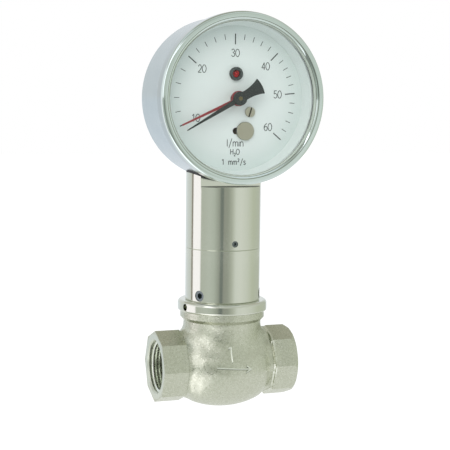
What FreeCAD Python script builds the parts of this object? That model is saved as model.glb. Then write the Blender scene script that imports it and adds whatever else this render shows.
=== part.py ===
"""In-line flow meter with a spring-loaded piston and a dial gauge on a column.

Millimetres, +Z up. The origin is the centre of the inlet port's mouth on the pipe axis, the water runs
along +X, and the dial looks towards -Y. Two working frames are used below. The column frame stands on the
pipe axis under the column, with its Z up the column. The gauge frame sits at the dial's centre, with its
X to the right, its Y up and its Z out of the dial towards the reader.
"""
import FreeCAD, Part
import math
import os
import re
import Sketcher

from FreeCAD import Placement, Rotation, Vector

os.makedirs("parts", exist_ok=True)
doc = FreeCAD.newDocument("flow_meter")

# Driving dimensions, in millimetres and degrees

SIZES = {
    # cast body
    "half_length": 45.8,
    "port_circumradius": 23.3,
    "port_reach": 27.0,
    "port_bevel": 1.6,
    "port_bevel_slope": 0.6,
    "thread_radius": 16.65,
    "thread_length": 17.0,
    "mouth_bevel": 1.05,
    "passage_radius": 13.5,
    "passage_reach": 23.0,
    "belly_long": 40.0,
    "belly_deep": 30.0,
    "belly_high": 27.2,
    "belly_drop": 0.9,
    "belly_wall": 4.2,
    "web_thickness": 3.6,
    "web_half_width": 15.0,
    "web_lean": 57.0,
    "web_reach": 30.0,
    "neck_radius": 25.3,
    "neck_bore": 20.5,
    "neck_top": 35.7,
    "collar_radius": 27.5,
    "collar_height": 4.2,
    "collar_taper": 2.2,
    "cast_fillet": 2.5,
    "neck_groove_radius": 22.6,
    "neck_groove_depth": 1.7,
    # seat and plunger
    "fit_gap": 0.05,
    "run_gap": 0.05,
    "seat_radius": 12.0,
    "seat_bore": 9.5,
    "seat_rim_radius": 13.5,
    "seat_rim": 1.7,
    "seat_foot": 0.9,
    "plunger_radius": 11.2,
    "plunger_thickness": 3.0,
    "skirt_gap": 0.3,
    "skirt_length": 2.0,
    "cone_length": 5.5,
    "cone_radius": 6.5,
    "boss_radius": 6.2,
    "boss_height": 2.4,
    "boss_bevel": 0.6,
    "stroke": 17.8,
    "stop_gap": 0.25,
    "rod_radius": 2.0,
    "rod_end": 0.6,
    "nut_flats": 7.0,
    "nut_height": 3.2,
    "spring_radius": 7.6,
    "spring_wire": 0.55,
    "spring_turns": 6.5,
    # bonnet
    "spring_recess": 10.5,
    "partition_bottom": 36.5,
    "partition_top": 41.0,
    "flange_radius": 29.2,
    "flange_top": 42.8,
    "flange_round": 2.2,
    "flange_under_round": 1.2,
    "stub_radius": 18.0,
    "stub_height": 10.2,
    "spanner_radius": 2.15,
    "spanner_depth": 6.0,
    "spanner_azimuth": -164.4,
    "bush_radius": 5.0,
    "bush_rim_radius": 6.2,
    "bush_rim": 2.0,
    "bush_rise": 2.0,
    # tube round the magnet
    "tube_recess": 13.0,
    "tube_radius": 7.2,
    "tube_wall": 1.0,
    "tube_cap": 1.2,
    "tube_flange": 2.8,
    "tube_headroom": 1.2,
    "tube_lift": 0.2,
    "tube_side_gap": 0.2,
    "ring_nut_height": 5.0,
    "ring_nut_gap": 0.3,
    "groove_inner": 10.0,
    "groove_outer": 12.0,
    "groove_depth": 1.3,
    "magnet_radius": 6.8,
    "magnet_bottom": 56.0,
    "magnet_length": 10.0,
    "shoulder_radius": 3.0,
    "shoulder_length": 3.0,
    "magnet_nut_flats": 6.0,
    "magnet_nut_height": 2.4,
    # column
    "column_radius": 24.37,
    "column_bore": 16.0,
    "lower_top": 76.76,
    "joint_radius": 20.0,
    "joint_height": 7.5,
    "seam_bevel": 0.3,
    "shelf_height": 115.0,
    "flat_depth": 13.7,
    "head_floor": 7.77,
    "clamp_screw_radius": 3.5,
    "clamp_screw_height": 47.0,
    "clamp_screw_azimuth": -147.0,
    "seam_screw_radius": 2.05,
    "seam_screw_height": 81.1,
    "seam_screw_azimuth": -91.0,
    "screw_sink": 0.7,
    "gasket_thickness": 1.2,
    "gasket_back": 10.0,
    "gasket_inset": 0.1,
    # follower
    "cradle_gap": 0.5,
    "cradle_radius": 14.0,
    "cradle_wall": 1.3,
    "cradle_floor": 1.5,
    "follower_magnet_gap": 0.2,
    "arm_width": 5.0,
    "arm_thickness": 3.0,
    "bridge_height": 3.4,
    "bridge_gap": 0.9,
    # gauge
    "gauge_height": 173.07,
    "case_radius": 52.1,
    "case_back": 15.0,
    "case_wall": 1.2,
    "case_ledge": 3.1,
    "case_round": 4.0,
    "case_rim": 30.2,
    "bezel_gap": 0.2,
    "bezel_wall": 1.2,
    "bezel_skirt": 2.7,
    "bezel_front": 37.9,
    "bezel_round": 2.6,
    "bezel_shoulder": 3.1,
    "bezel_fall": 2.0,
    "bezel_lip": 1.2,
    "seal_thickness": 0.9,
    "seal_width": 3.2,
    "window_inset": 0.8,
    "window_thickness": 3.0,
    "window_gap": 0.2,
    "rim_wall": 1.6,
    "dial_front": 20.3,
    "dial_thickness": 1.0,
    "dial_hole": 3.4,
    "ring_width": 5.0,
    "ring_slope": 2.4,
    "case_screw_front": 9.5,
    "case_screw_rear": 8.5,
    "case_screw_radius": 1.85,
    "case_screw_head": 2.8,
    "case_screw_head_height": 2.6,
    "case_screw_length": 9.5,
    "case_screw_socket": 2.96,
    "spot_face": 1.0,
    # movement
    "gear_module": 0.5,
    "pinion_teeth": 16,
    "set_gear_teeth": 34,
    "adjuster_teeth": 17,
    "backlash": 0.1,
    "arbor_radius": 1.25,
    "arbor_tail": 1.0,
    "arbor_rise": 0.3,
    "sleeve_radius": 2.2,
    "sleeve_tail": 0.5,
    "plate_thickness": 1.5,
    "back_plate_front": -4.0,
    "front_plate_back": 9.0,
    "plate_half_width": 18.0,
    "plate_bottom": -38.5,
    "back_plate_top": 18.0,
    "front_plate_top": 35.0,
    "plate_corner": 4.0,
    "pillar_radius": 3.0,
    "pillar_across": 13.5,
    "pillar_top": 13.5,
    "pillar_bottom": -34.0,
    "plate_screw_radius": 1.4,
    "plate_screw_head": 2.6,
    "plate_screw_head_height": 1.7,
    "plate_screw_slit": 0.8,
    "plate_screw_slit_depth": 0.6,
    "foot_socket": 4.0,
    "foot_thread": 3.0,
    "rack_middle": 2.0,
    "rack_width": 3.0,
    "rack_depth": 3.4,
    "rack_hole": 4.2,
    "rack_spare": 2.0,
    "pinion_width": 3.6,
    "set_gear_back": 12.5,
    "set_gear_width": 1.5,
    "guide_height": 5.0,
    "guide_level": -30.0,
    "guide_wall": 2.0,
    "guide_gap": 0.15,
    # hands
    "press_gap": 0.02,
    "pointer_level": 29.15,
    "pointer_thickness": 0.6,
    "pointer_reach": 40.0,
    "pointer_azimuth": 210.2,
    "pointer_hub": 4.35,
    "pointer_hub_height": 1.8,
    "pointer_tip_half": 0.3,
    "pointer_root_half": 1.7,
    "tail_reach": 16.6,
    "tail_half_angle": 18.5,
    "tail_hollow": 1.6,
    "tail_root_across": 0.2,
    "tail_root_up": 0.72,
    "tip_roundness": 1.15,
    "set_level": 26.1,
    "set_reach": 40.8,
    "set_azimuth": 204.6,
    "set_hub": 4.8,
    "set_hub_height": 1.6,
    "set_tip_half": 0.5,
    "set_root_half": 1.1,
    # adjuster, clamp disc and lamp on the dial
    "adjuster_azimuth": -41.0,
    "adjuster_shaft": 1.5,
    "adjuster_hole": 1.9,
    "adjuster_head": 3.2,
    "adjuster_head_height": 1.4,
    "adjuster_slot_width": 0.9,
    "adjuster_slot_depth": 0.7,
    "adjuster_slot_azimuth": 73.0,
    "head_gap": 0.3,
    "disc_across": 6.5,
    "disc_level": -20.4,
    "disc_radius": 5.8,
    "disc_thickness": 1.6,
    "disc_bevel": 0.3,
    "disc_travel": 6.0,
    "stem_radius": 1.8,
    "stem_tail": 1.6,
    "stem_nut_wall": 1.6,
    "stem_nut_gap": 0.2,
    "slot_half": 2.1,
    "lever_left": 9.5,
    "lever_right": 5.5,
    "lever_half_height": 4.0,
    "lever_roundness": 1.4,
    "lever_thickness": 1.2,
    "lamp_level": 15.5,
    "lamp_radius": 2.35,
    "lamp_front": 22.0,
    "lamp_gap": 0.1,
    "holder_radius": 3.65,
    "holder_rim_radius": 4.2,
    "holder_front": 22.9,
    "holder_bevel": 0.5,
    "holder_mouth": 1.0,
    "board_back": 15.0,
    "board_thickness": 1.5,
    "board_half_width": 14.0,
    "board_bottom": 11.5,
    "board_top": 34.0,
    "board_post_across": 10.0,
    "board_post_level": 30.0,
    "board_post_radius": 2.2,
    # cable gland at the back
    "gland_level": -22.0,
    "gland_thread": 6.0,
    "gland_flats": 16.0,
    "gland_hex": 5.0,
    "gland_cap_radius": 7.6,
    "gland_cap_length": 8.0,
    "gland_cap_bevel": 1.6,
    "gland_cap_slope": 2.2,
    "gland_mouth": 3.4,
    "gland_insert_bore": 2.2,
    "gland_nut_height": 2.4,
    "gland_nut_flats": 17.0,
    "gland_stud_end": 0.6,
    "insert_inset": 0.6,
}

dims = doc.addObject("Spreadsheet::Sheet", "dims")
for row, (name, number) in enumerate(SIZES.items(), start=1):
    dims.set(f"A{row}", name)
    dims.set(f"B{row}", str(number))
    dims.setAlias(f"B{row}", name)
doc.recompute()

# Levels and places that several pieces share, as formulas on the sheet's sizes

# on the column's axis
SEAT_TOP = "(web_thickness / 2 + seat_rim + fit_gap)"
PLUNGER_TOP = f"({SEAT_TOP} + plunger_thickness)"
CONE_FOOT = f"({SEAT_TOP} - skirt_length - cone_length)"
MAGNET_TOP = "(magnet_bottom + magnet_length)"
ROD_TOP = f"({MAGNET_TOP} + magnet_nut_height + rod_end)"
BONNET_FOOT = f"({PLUNGER_TOP} + stroke + stop_gap)"
BONNET_TOP = "(flange_top + stub_height)"
TUBE_SEAT = "(partition_top + tube_lift)"
TUBE_FLANGE_TOP = f"({TUBE_SEAT} + tube_flange)"
TUBE_INSIDE_TOP = f"({ROD_TOP} + stroke + tube_headroom)"
TUBE_TOP = f"({TUBE_INSIDE_TOP} + tube_cap)"
JOINT_TOP = "(lower_top + joint_height)"
CRADLE_BOTTOM = "(magnet_bottom - cradle_floor)"
CRADLE_BORE = "(tube_radius + tube_wall + cradle_gap)"
CRADLE_ROOM = "(cradle_radius - cradle_wall)"
BRIDGE_BOTTOM = f"({TUBE_TOP} + bridge_gap)"
BRIDGE_TOP = f"({BRIDGE_BOTTOM} + bridge_height)"
SADDLE_RADIUS = "(case_radius + gasket_thickness)"
SADDLE_FOOT = f"(gauge_height - {SADDLE_RADIUS})"
HEAD_BOTTOM = f"({SADDLE_FOOT} - head_floor)"

# in the gauge
RACK_FOOT = f"({BRIDGE_TOP} - gauge_height)"
RACK_ACROSS = "(-pinion_teeth * gear_module / 2 - rack_depth / 2)"
CASE_SEAT = "(case_radius - case_ledge)"
DIAL_RADIUS = "(case_radius - rim_wall)"
RING_INNER = f"({DIAL_RADIUS} - ring_width)"
WINDOW_RADIUS = "(case_radius - window_inset)"
SEAL_RADIUS = "(case_radius - window_gap)"
BEZEL_RADIUS = "(case_radius + bezel_gap + bezel_wall)"
BEZEL_CREST = f"({BEZEL_RADIUS} - bezel_shoulder)"
BEZEL_LIP_RADIUS = f"({BEZEL_CREST} - bezel_fall)"
DIAL_BACK = "(dial_front - dial_thickness)"
SEAL_BACK = "(case_rim + fit_gap)"
WINDOW_BACK = f"({SEAL_BACK} + seal_thickness + fit_gap)"
WINDOW_FRONT = f"({WINDOW_BACK} + window_thickness)"
HEAD_BACK = "(dial_front + head_gap)"
STEM_BACK = "(front_plate_back - stem_tail)"
SET_PITCH = "(gear_module * (set_gear_teeth + adjuster_teeth) / 2)"
ADJUSTER_ACROSS = f"({SET_PITCH} * cos(adjuster_azimuth * 1 deg))"
ADJUSTER_LEVEL = f"({SET_PITCH} * sin(adjuster_azimuth * 1 deg))"
BACK_PLATE_BACK = "(back_plate_front - plate_thickness)"
FRONT_PLATE_FRONT = "(front_plate_back + plate_thickness)"
BOARD_FRONT = "(board_back + board_thickness)"
PILLARS = [("pillar_across", "pillar_top"), ("-pillar_across", "pillar_top"),
           ("-pillar_across", "pillar_bottom"), ("pillar_across", "pillar_bottom")]
CASE_SCREWS = [("front", "case_screw_front"), ("rear", "-case_screw_rear")]

# proportions of standard gear teeth, and their pressure angle in degrees
ADDENDUM = 0.9
DEDENDUM = 1.25
PRESSURE_ANGLE = 20


PIECES = []
UPRIGHT = Rotation()
FACING_READER = Rotation(Vector(1, 0, 0), 90)


def formula(text):
    """Writes the sheet's name in front of every size that a formula mentions."""
    return re.sub(r"[a-z]+(_[a-z]+)*", lambda word: "dims." + word[0] if word[0] in SIZES else word[0], text)


def value(text):
    """The number that a formula gives with the sheet as it stands."""
    return float(dims.evalExpression(formula(text)))


def bind(item, **formulas):
    """Binds properties of an object to formulas on the sheet."""
    for name, text in formulas.items():
        item.setExpression(name, formula(text))
    return item


def put(item, x="0", y="0", z="0", rotation=UPRIGHT):
    """Places an object, with each coordinate bound to a formula."""
    item.Placement = Placement(Vector(0, 0, 0), rotation)
    for axis, text in (("x", x), ("y", y), ("z", z)):
        item.setExpression(f"Placement.Base.{axis}", formula(text))
    return item


def piece(item, label, frame=None, level="0"):
    """Registers a finished sub-part under its own label, in one of the two working frames."""
    item.Label = label
    if frame == "column":
        put(item, x="half_length", z=level)
    if frame == "gauge":
        put(item, x="half_length", z="gauge_height", rotation=FACING_READER)
    PIECES.append(item)
    return item


# Sketches and the features made from them

def sketch_on(body, name, role):
    """A sketch on one of the body's own origin planes."""
    plane = next(item for item in body.Origin.OriginFeatures if item.Role == role)
    sketch = body.newObject("Sketcher::SketchObject", name)
    sketch.AttachmentSupport = (plane, [""])
    sketch.MapMode = "FlatFace"
    return sketch


def pin_point(sketch, geometry, position, across, up):
    """Fixes one point of a sketch at a pair of formulas measured from the origin."""
    for kind, text in (("DistanceX", across), ("DistanceY", up)):
        index = sketch.addConstraint(Sketcher.Constraint(kind, -1, 1, geometry, position, value(text)))
        sketch.setExpression(f"Constraints[{index}]", formula(text))


def outline(sketch, corners):
    """A closed outline through corners (across, up), or (across, up, radius) where an arc leaves the corner.

    A positive radius turns left on the way to the next corner, a negative one turns right.
    """
    count = len(corners)
    places = [Vector(value(corner[0]), value(corner[1]), 0) for corner in corners]
    ends = []
    for index, corner in enumerate(corners):
        start = places[index]
        stop = places[(index + 1) % count]
        if len(corner) == 2:
            geometry = sketch.addGeometry(Part.LineSegment(start, stop), False)
            ends.append((geometry, 1, 2))
            continue
        radius = value(corner[2])
        chord = stop - start
        half = chord.Length / 2
        left = Vector(-chord.y, chord.x, 0).normalize()
        rise = math.sqrt(max(radius * radius - half * half, 0.0))
        side = 1 if radius > 0 else -1
        centre = start + chord * 0.5 + left * (rise * side)
        first = math.atan2(start.y - centre.y, start.x - centre.x)
        last = math.atan2(stop.y - centre.y, stop.x - centre.x)
        circle = Part.Circle(centre, Vector(0, 0, 1), abs(radius))
        if side > 0:
            geometry = sketch.addGeometry(Part.ArcOfCircle(circle, first, last), False)
            ends.append((geometry, 1, 2))
        else:
            geometry = sketch.addGeometry(Part.ArcOfCircle(circle, last, first), False)
            ends.append((geometry, 2, 1))
    for index, (geometry, start, stop) in enumerate(ends):
        following, following_start, _ = ends[(index + 1) % count]
        sketch.addConstraint(Sketcher.Constraint("Coincident", geometry, stop, following, following_start))
    for (geometry, start, _), corner in zip(ends, corners):
        pin_point(sketch, geometry, start, corner[0], corner[1])
        if len(corner) == 3:
            size = abs(value(corner[2]))
            index = sketch.addConstraint(Sketcher.Constraint("Radius", geometry, size))
            sketch.setExpression(f"Constraints[{index}]", formula(f"abs({corner[2]})"))


def circle(sketch, across, up, radius):
    """A whole circle with its centre and radius bound to formulas."""
    centre = Vector(value(across), value(up), 0)
    geometry = sketch.addGeometry(Part.Circle(centre, Vector(0, 0, 1), value(radius)), False)
    pin_point(sketch, geometry, 3, across, up)
    index = sketch.addConstraint(Sketcher.Constraint("Radius", geometry, value(radius)))
    sketch.setExpression(f"Constraints[{index}]", formula(radius))


def slot(sketch, left, right, level, half):
    """A level slot with round ends, given by the centres of its ends and its half height."""
    radius = value(half)
    places = [Vector(value(across), value(level), 0) for across in (left, right)]
    arcs = []
    for place, across, first in ((places[0], left, math.pi / 2), (places[1], right, -math.pi / 2)):
        rim = Part.Circle(place, Vector(0, 0, 1), radius)
        arc = sketch.addGeometry(Part.ArcOfCircle(rim, first, first + math.pi), False)
        pin_point(sketch, arc, 3, across, level)
        index = sketch.addConstraint(Sketcher.Constraint("Radius", arc, radius))
        sketch.setExpression(f"Constraints[{index}]", formula(half))
        sketch.addConstraint(Sketcher.Constraint("Vertical", arc, 3, arc, 1))
        sketch.addConstraint(Sketcher.Constraint("Vertical", arc, 3, arc, 2))
        arcs.append(arc)
    lift = Vector(0, radius, 0)
    for start, stop, rise in ((0, 1, -1), (1, 0, 1)):
        edge = Part.LineSegment(places[start] + lift * rise, places[stop] + lift * rise)
        line = sketch.addGeometry(edge, False)
        sketch.addConstraint(Sketcher.Constraint("Coincident", arcs[start], 2, line, 1))
        sketch.addConstraint(Sketcher.Constraint("Coincident", line, 2, arcs[stop], 1))


def turned(label, frame, corners):
    """A body turned about its own Z from an outline of (radius, height) corners."""
    body = doc.addObject("PartDesign::Body", label)
    sketch = sketch_on(body, f"{label}_profile", "XZ_Plane")
    outline(sketch, corners)
    revolution = body.newObject("PartDesign::Revolution", f"{label}_turned")
    revolution.Profile = sketch
    revolution.ReferenceAxis = (sketch, ["V_Axis"])
    revolution.Angle = 360
    doc.recompute()
    return piece(body, label, frame)


def tube(label, frame, inner, outer, bottom, top):
    """A plain ring or washer."""
    return turned(label, frame, [(inner, bottom), (outer, bottom), (outer, top), (inner, top)])


def pad(body, name, bottom, thickness, draw):
    """Pads a sketch that draw() fills, from a level on the body's Z."""
    sketch = sketch_on(body, f"{name}_sketch", "XY_Plane")
    sketch.setExpression("AttachmentOffset.Base.z", formula(bottom))
    draw(sketch)
    feature = body.newObject("PartDesign::Pad", name)
    feature.Profile = sketch
    bind(feature, Length=thickness)
    doc.recompute()
    return feature


def plate(label, frame, bottom, thickness, draw):
    """A flat piece padded from one sketch."""
    body = doc.addObject("PartDesign::Body", label)
    pad(body, f"{label}_pad", bottom, thickness, draw)
    return piece(body, label, frame)


def polygon_prism(label, frame, flats, bottom, height, bore, level="0"):
    """A six-sided nut with a bore, given by its width across flats."""
    def draw(sketch):
        reach = f"({flats}) / 2 / cos(30 deg)"
        outline(sketch, [
            (f"({reach}) * cos({60 * corner} deg)", f"{level} + ({reach}) * sin({60 * corner} deg)")
            for corner in range(6)
        ])
        circle(sketch, "0", level, bore)
    return plate(label, frame, bottom, height, draw)


def add_box(body, name, kind, length, width, height, x, y, z):
    """Adds or takes a box, with kind Additive or Subtractive."""
    box = body.newObject(f"PartDesign::{kind}Box", name)
    bind(box, Length=length, Width=width, Height=height)
    put(box, x, y, z)
    doc.recompute()
    return box


def bore(body, name, radius, length, x="0", y="0", z="0", rotation=UPRIGHT):
    """Drills a straight hole that starts at a place and runs along a turned Z."""
    drill = body.newObject("PartDesign::SubtractiveCylinder", name)
    bind(drill, Radius=radius, Height=length)
    put(drill, x, y, z, rotation)
    doc.recompute()
    return drill


def radial_holes(body, name, radius, length, start, level, azimuth, count):
    """Drills holes outwards from a radius, the first at an azimuth and the rest evenly round the axis."""
    angle = value(azimuth)
    rotation = Rotation(Vector(0, 0, 1), angle).multiply(Rotation(Vector(0, 1, 0), 90))
    drill = bore(
        body, name, radius, length,
        x=f"({start}) * cos({azimuth} * 1 deg)",
        y=f"({start}) * sin({azimuth} * 1 deg)",
        z=level, rotation=rotation)
    if count == 1:
        return drill
    pattern = body.newObject("PartDesign::PolarPattern", f"{name}_pattern")
    pattern.Originals = [drill]
    axis = next(item for item in body.Origin.OriginFeatures if item.Role == "Z_Axis")
    pattern.Axis = (axis, [""])
    pattern.Angle = 360
    pattern.Occurrences = count
    body.Tip = pattern
    doc.recompute()
    return pattern


def round_edges(body, name, radius, wanted):
    """Rounds the edges of the body's tip for which wanted(edge) is true."""
    tip = body.Tip
    names = [f"Edge{index}" for index, edge in enumerate(tip.Shape.Edges, start=1) if wanted(edge)]
    fillet = body.newObject("PartDesign::Fillet", name)
    fillet.Base = (tip, names)
    bind(fillet, Radius=radius)
    doc.recompute()
    return fillet


def circle_at(radius, level):
    """A test for whole circles of a radius at a level on the body's own Z."""
    def wanted(edge):
        curve = edge.Curve
        if not isinstance(curve, Part.Circle):
            return False
        same_radius = abs(curve.Radius - value(radius)) < 1e-4
        return same_radius and abs(curve.Center.z - value(level)) < 1e-4
    return wanted


def made(label, frame, shape):
    """A sub-part whose shape is worked out below from the sheet's values."""
    item = doc.addObject("Part::Feature", label)
    item.Shape = shape
    return piece(item, label, frame)


def primitive(kind, name, x="0", y="0", z="0", rotation=UPRIGHT, **formulas):
    """A basic solid with its sizes and place bound to formulas."""
    return put(bind(doc.addObject(kind, name), **formulas), x, y, z, rotation)


def fuse(name, shapes):
    result = doc.addObject("Part::MultiFuse", name)
    result.Shapes = shapes
    return result


def cut(name, base, tool):
    result = doc.addObject("Part::Cut", name)
    result.Base = base
    result.Tool = tool
    return result


def common(name, first, second):
    result = doc.addObject("Part::Common", name)
    result.Base = first
    result.Tool = second
    return result


# Cast body with its threaded ports, and the partition that carries the seat

ALONG_FLOW = Rotation(Vector(0, 1, 0), 90)
AGAINST_FLOW = Rotation(Vector(0, 1, 0), -90)


def port_blank(side, mouth, rotation):
    """An eight-sided port that stands on a corner, with its mouth edge turned to a bevel."""
    prism = primitive(
        "Part::Prism", f"{side}_prism", x=mouth, rotation=rotation,
        Circumradius="port_circumradius", Height="port_reach")
    prism.Polygon = 8
    blank = primitive(
        "Part::Cone", f"{side}_blank", x=mouth, rotation=rotation,
        Radius1="port_circumradius - port_bevel",
        Radius2="port_circumradius - port_bevel + port_reach * port_bevel_slope",
        Height="port_reach")
    return common(f"{side}_port", prism, blank)


def port_hollow(side, mouth, rotation):
    """The threaded bore, the bevel at its mouth and the waterway behind it."""
    thread = primitive(
        "Part::Cylinder", f"{side}_thread", x=mouth, rotation=rotation,
        Radius="thread_radius", Height="thread_length")
    bevel = primitive(
        "Part::Cone", f"{side}_bevel", x=mouth, rotation=rotation,
        Radius1="thread_radius + mouth_bevel", Radius2="thread_radius", Height="mouth_bevel")
    passage = primitive(
        "Part::Cylinder", f"{side}_passage", x=mouth, rotation=rotation,
        Radius="passage_radius", Height="passage_reach")
    return [thread, bevel, passage]


def belly(name, wall):
    """The egg-shaped belly, or the hollow inside it at some depth below its skin."""
    return primitive(
        "Part::Ellipsoid", name, z="-belly_drop",
        Radius1=f"belly_high - {wall}", Radius2=f"belly_long - {wall}", Radius3=f"belly_deep - {wall}")


def partition():
    """The cast web: level under the seat, leaning up to the inlet side and down to the outlet side."""
    floor = primitive(
        "Part::Box", "web_floor", x="-web_half_width", y="-belly_deep", z="-web_thickness / 2",
        Length="2 * web_half_width", Width="2 * belly_deep", Height="web_thickness")
    parts = [floor]
    lean = value("web_lean")
    for side, sign, angle in (("inlet", "-1", lean - 180), ("outlet", "1", lean)):
        turn = Rotation(Vector(0, 1, 0), angle)
        wing = primitive(
            "Part::Box", f"web_{side}", rotation=turn,
            x=f"{sign} * web_half_width - {math.sin(math.radians(angle)):.12f} * web_thickness / 2",
            y="-belly_deep",
            z=f"-1 * {math.cos(math.radians(angle)):.12f} * web_thickness / 2",
            Length="web_reach", Width="2 * belly_deep", Height="web_thickness")
        knee = primitive(
            "Part::Cylinder", f"web_{side}_knee", x=f"{sign} * web_half_width", y="-belly_deep",
            rotation=Rotation(Vector(1, 0, 0), -90), Radius="web_thickness / 2", Height="2 * belly_deep")
        parts += [wing, knee]
    return common("web", fuse("web_slabs", parts), belly("web_limit", "belly_wall / 2"))


def neck_edges(shape):
    """The two long edges where the neck runs into the belly, one on each side of the ports."""
    return [
        index for index, edge in enumerate(shape.Edges, start=1)
        if edge.BoundBox.XLength > value("neck_radius") and edge.BoundBox.ZLength > 1
        and edge.BoundBox.ZMin > 0
    ]


def valve_body():
    neck = primitive("Part::Cylinder", "neck", Radius="neck_radius", Height="neck_top")
    taper = primitive(
        "Part::Cone", "collar_taper_cone", z="neck_top - collar_height - collar_taper",
        Radius1="neck_radius", Radius2="collar_radius", Height="collar_taper")
    collar = primitive(
        "Part::Cylinder", "collar", z="neck_top - collar_height",
        Radius="collar_radius", Height="collar_height")
    inlet = port_blank("inlet", "-half_length", ALONG_FLOW)
    outlet = port_blank("outlet", "half_length", AGAINST_FLOW)
    skin = fuse("skin", [belly("belly_skin", "0"), neck, taper, collar, inlet, outlet])
    doc.recompute()
    blended = doc.addObject("Part::Fillet", "blended_skin")
    blended.Base = skin
    radius = value("cast_fillet")
    blended.Edges = [(index, radius, radius) for index in neck_edges(skin.Shape)]
    throat = primitive(
        "Part::Cylinder", "neck_throat", z="web_thickness", Radius="neck_bore", Height="neck_top")
    groove = primitive(
        "Part::Cylinder", "neck_groove", z="neck_top - neck_groove_depth",
        Radius="neck_groove_radius", Height="neck_groove_depth + 1")
    hollows = [belly("belly_hollow", "belly_wall"), throat, groove]
    hollows += port_hollow("inlet", "-half_length", ALONG_FLOW)
    hollows += port_hollow("outlet", "half_length", AGAINST_FLOW)
    shell = cut("shell", blended, fuse("hollows", hollows))
    walled = fuse("walled", [shell, partition()])
    seat_hole = primitive(
        "Part::Cylinder", "seat_hole", z="-web_thickness", Radius="seat_radius + fit_gap",
        Height="2 * web_thickness")
    return piece(cut("valve_body_cast", walled, seat_hole), "valve_body", "column")


def seat_ring():
    """The pressed-in seat, whose rim lies on the web."""
    web = "web_thickness / 2"
    return turned("seat_ring", "column", [
        ("seat_bore", f"-{web} - seat_foot"),
        ("seat_radius", f"-{web} - seat_foot"),
        ("seat_radius", web),
        ("seat_rim_radius", web),
        ("seat_rim_radius", f"{web} + seat_rim"),
        ("seat_bore", f"{web} + seat_rim"),
    ])


# Plunger: piston, rod, magnet and the nuts at its ends

def piston():
    """The disc that closes the seat, with a metering cone below it and a spring boss above."""
    return turned("piston", "column", [
        ("rod_radius + fit_gap", CONE_FOOT),
        ("cone_radius", CONE_FOOT),
        ("seat_bore - skirt_gap", f"{SEAT_TOP} - skirt_length"),
        ("seat_bore - skirt_gap", SEAT_TOP),
        ("plunger_radius", SEAT_TOP),
        ("plunger_radius", PLUNGER_TOP),
        ("boss_radius", PLUNGER_TOP),
        ("boss_radius - boss_bevel", f"{PLUNGER_TOP} + boss_height"),
        ("rod_radius + fit_gap", f"{PLUNGER_TOP} + boss_height"),
    ])


def piston_rod():
    """The rod through the piston, with a shoulder that carries the magnet."""
    return turned("piston_rod", "column", [
        ("0", f"{CONE_FOOT} - nut_height - rod_end"),
        ("rod_radius", f"{CONE_FOOT} - nut_height - rod_end"),
        ("rod_radius", "magnet_bottom - shoulder_length"),
        ("shoulder_radius", "magnet_bottom - shoulder_length"),
        ("shoulder_radius", "magnet_bottom"),
        ("rod_radius", "magnet_bottom"),
        ("rod_radius", ROD_TOP),
        ("0", ROD_TOP),
    ])


def rod_fittings():
    bore_size = "rod_radius + fit_gap"
    polygon_prism("piston_nut", "column", "nut_flats", f"{CONE_FOOT} - nut_height", "nut_height", bore_size)
    tube("rod_magnet", "column", bore_size, "magnet_radius", "magnet_bottom", MAGNET_TOP)
    polygon_prism("magnet_nut", "column", "magnet_nut_flats", MAGNET_TOP, "magnet_nut_height", bore_size)


def return_spring():
    """The closing spring, one wire swept along a helix between the piston and the bonnet."""
    wire = value("spring_wire")
    radius = value("spring_radius")
    foot = value(f"{PLUNGER_TOP} + spring_wire + fit_gap")
    head = value("partition_bottom - spring_wire - fit_gap")
    turns = value("spring_turns")
    helix = Part.makeHelix((head - foot) / turns, head - foot, radius)
    helix.translate(Vector(0, 0, foot))
    start = Part.Wire(Part.makeCircle(wire, Vector(radius, 0, foot), Vector(0, 1, 0)))
    coil = Part.Wire(helix).makePipeShell([start], True, True)
    return made("return_spring", "column", coil)


# Bonnet, and the sealed tube that the magnet rises in

def bonnet():
    """The turned bonnet: a plug in the neck, the flange with its spanner holes and the column's stub."""
    body = turned("bonnet", "column", [
        ("bush_radius + fit_gap", "partition_bottom"),
        ("spring_recess", "partition_bottom"),
        ("spring_recess", BONNET_FOOT),
        ("neck_bore - fit_gap", BONNET_FOOT),
        ("neck_bore - fit_gap", "neck_top"),
        ("flange_radius", "neck_top"),
        ("flange_radius", "flange_top"),
        ("stub_radius", "flange_top"),
        ("stub_radius", BONNET_TOP),
        ("tube_recess", BONNET_TOP),
        ("tube_recess", "partition_top"),
        ("groove_outer", "partition_top"),
        ("groove_outer", "partition_top - groove_depth"),
        ("groove_inner", "partition_top - groove_depth"),
        ("groove_inner", "partition_top"),
        ("bush_radius + fit_gap", "partition_top"),
    ])
    round_edges(body, "flange_rounding", "flange_round", circle_at("flange_radius", "flange_top"))
    round_edges(body, "flange_foot_rounding", "flange_under_round", circle_at("flange_radius", "neck_top"))
    radial_holes(
        body, "spanner_hole", "spanner_radius", "spanner_depth + 1", "flange_radius - spanner_depth",
        "(neck_top + flange_top) / 2", "spanner_azimuth", 2)
    return body


def guide_bush():
    """The bush that the rod runs in, with a rim that centres the spring."""
    return turned("guide_bush", "column", [
        ("rod_radius + run_gap", "partition_bottom - bush_rim"),
        ("bush_rim_radius", "partition_bottom - bush_rim"),
        ("bush_rim_radius", "partition_bottom"),
        ("bush_radius", "partition_bottom"),
        ("bush_radius", "partition_top + bush_rise"),
        ("rod_radius + run_gap", "partition_top + bush_rise"),
    ])


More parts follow.
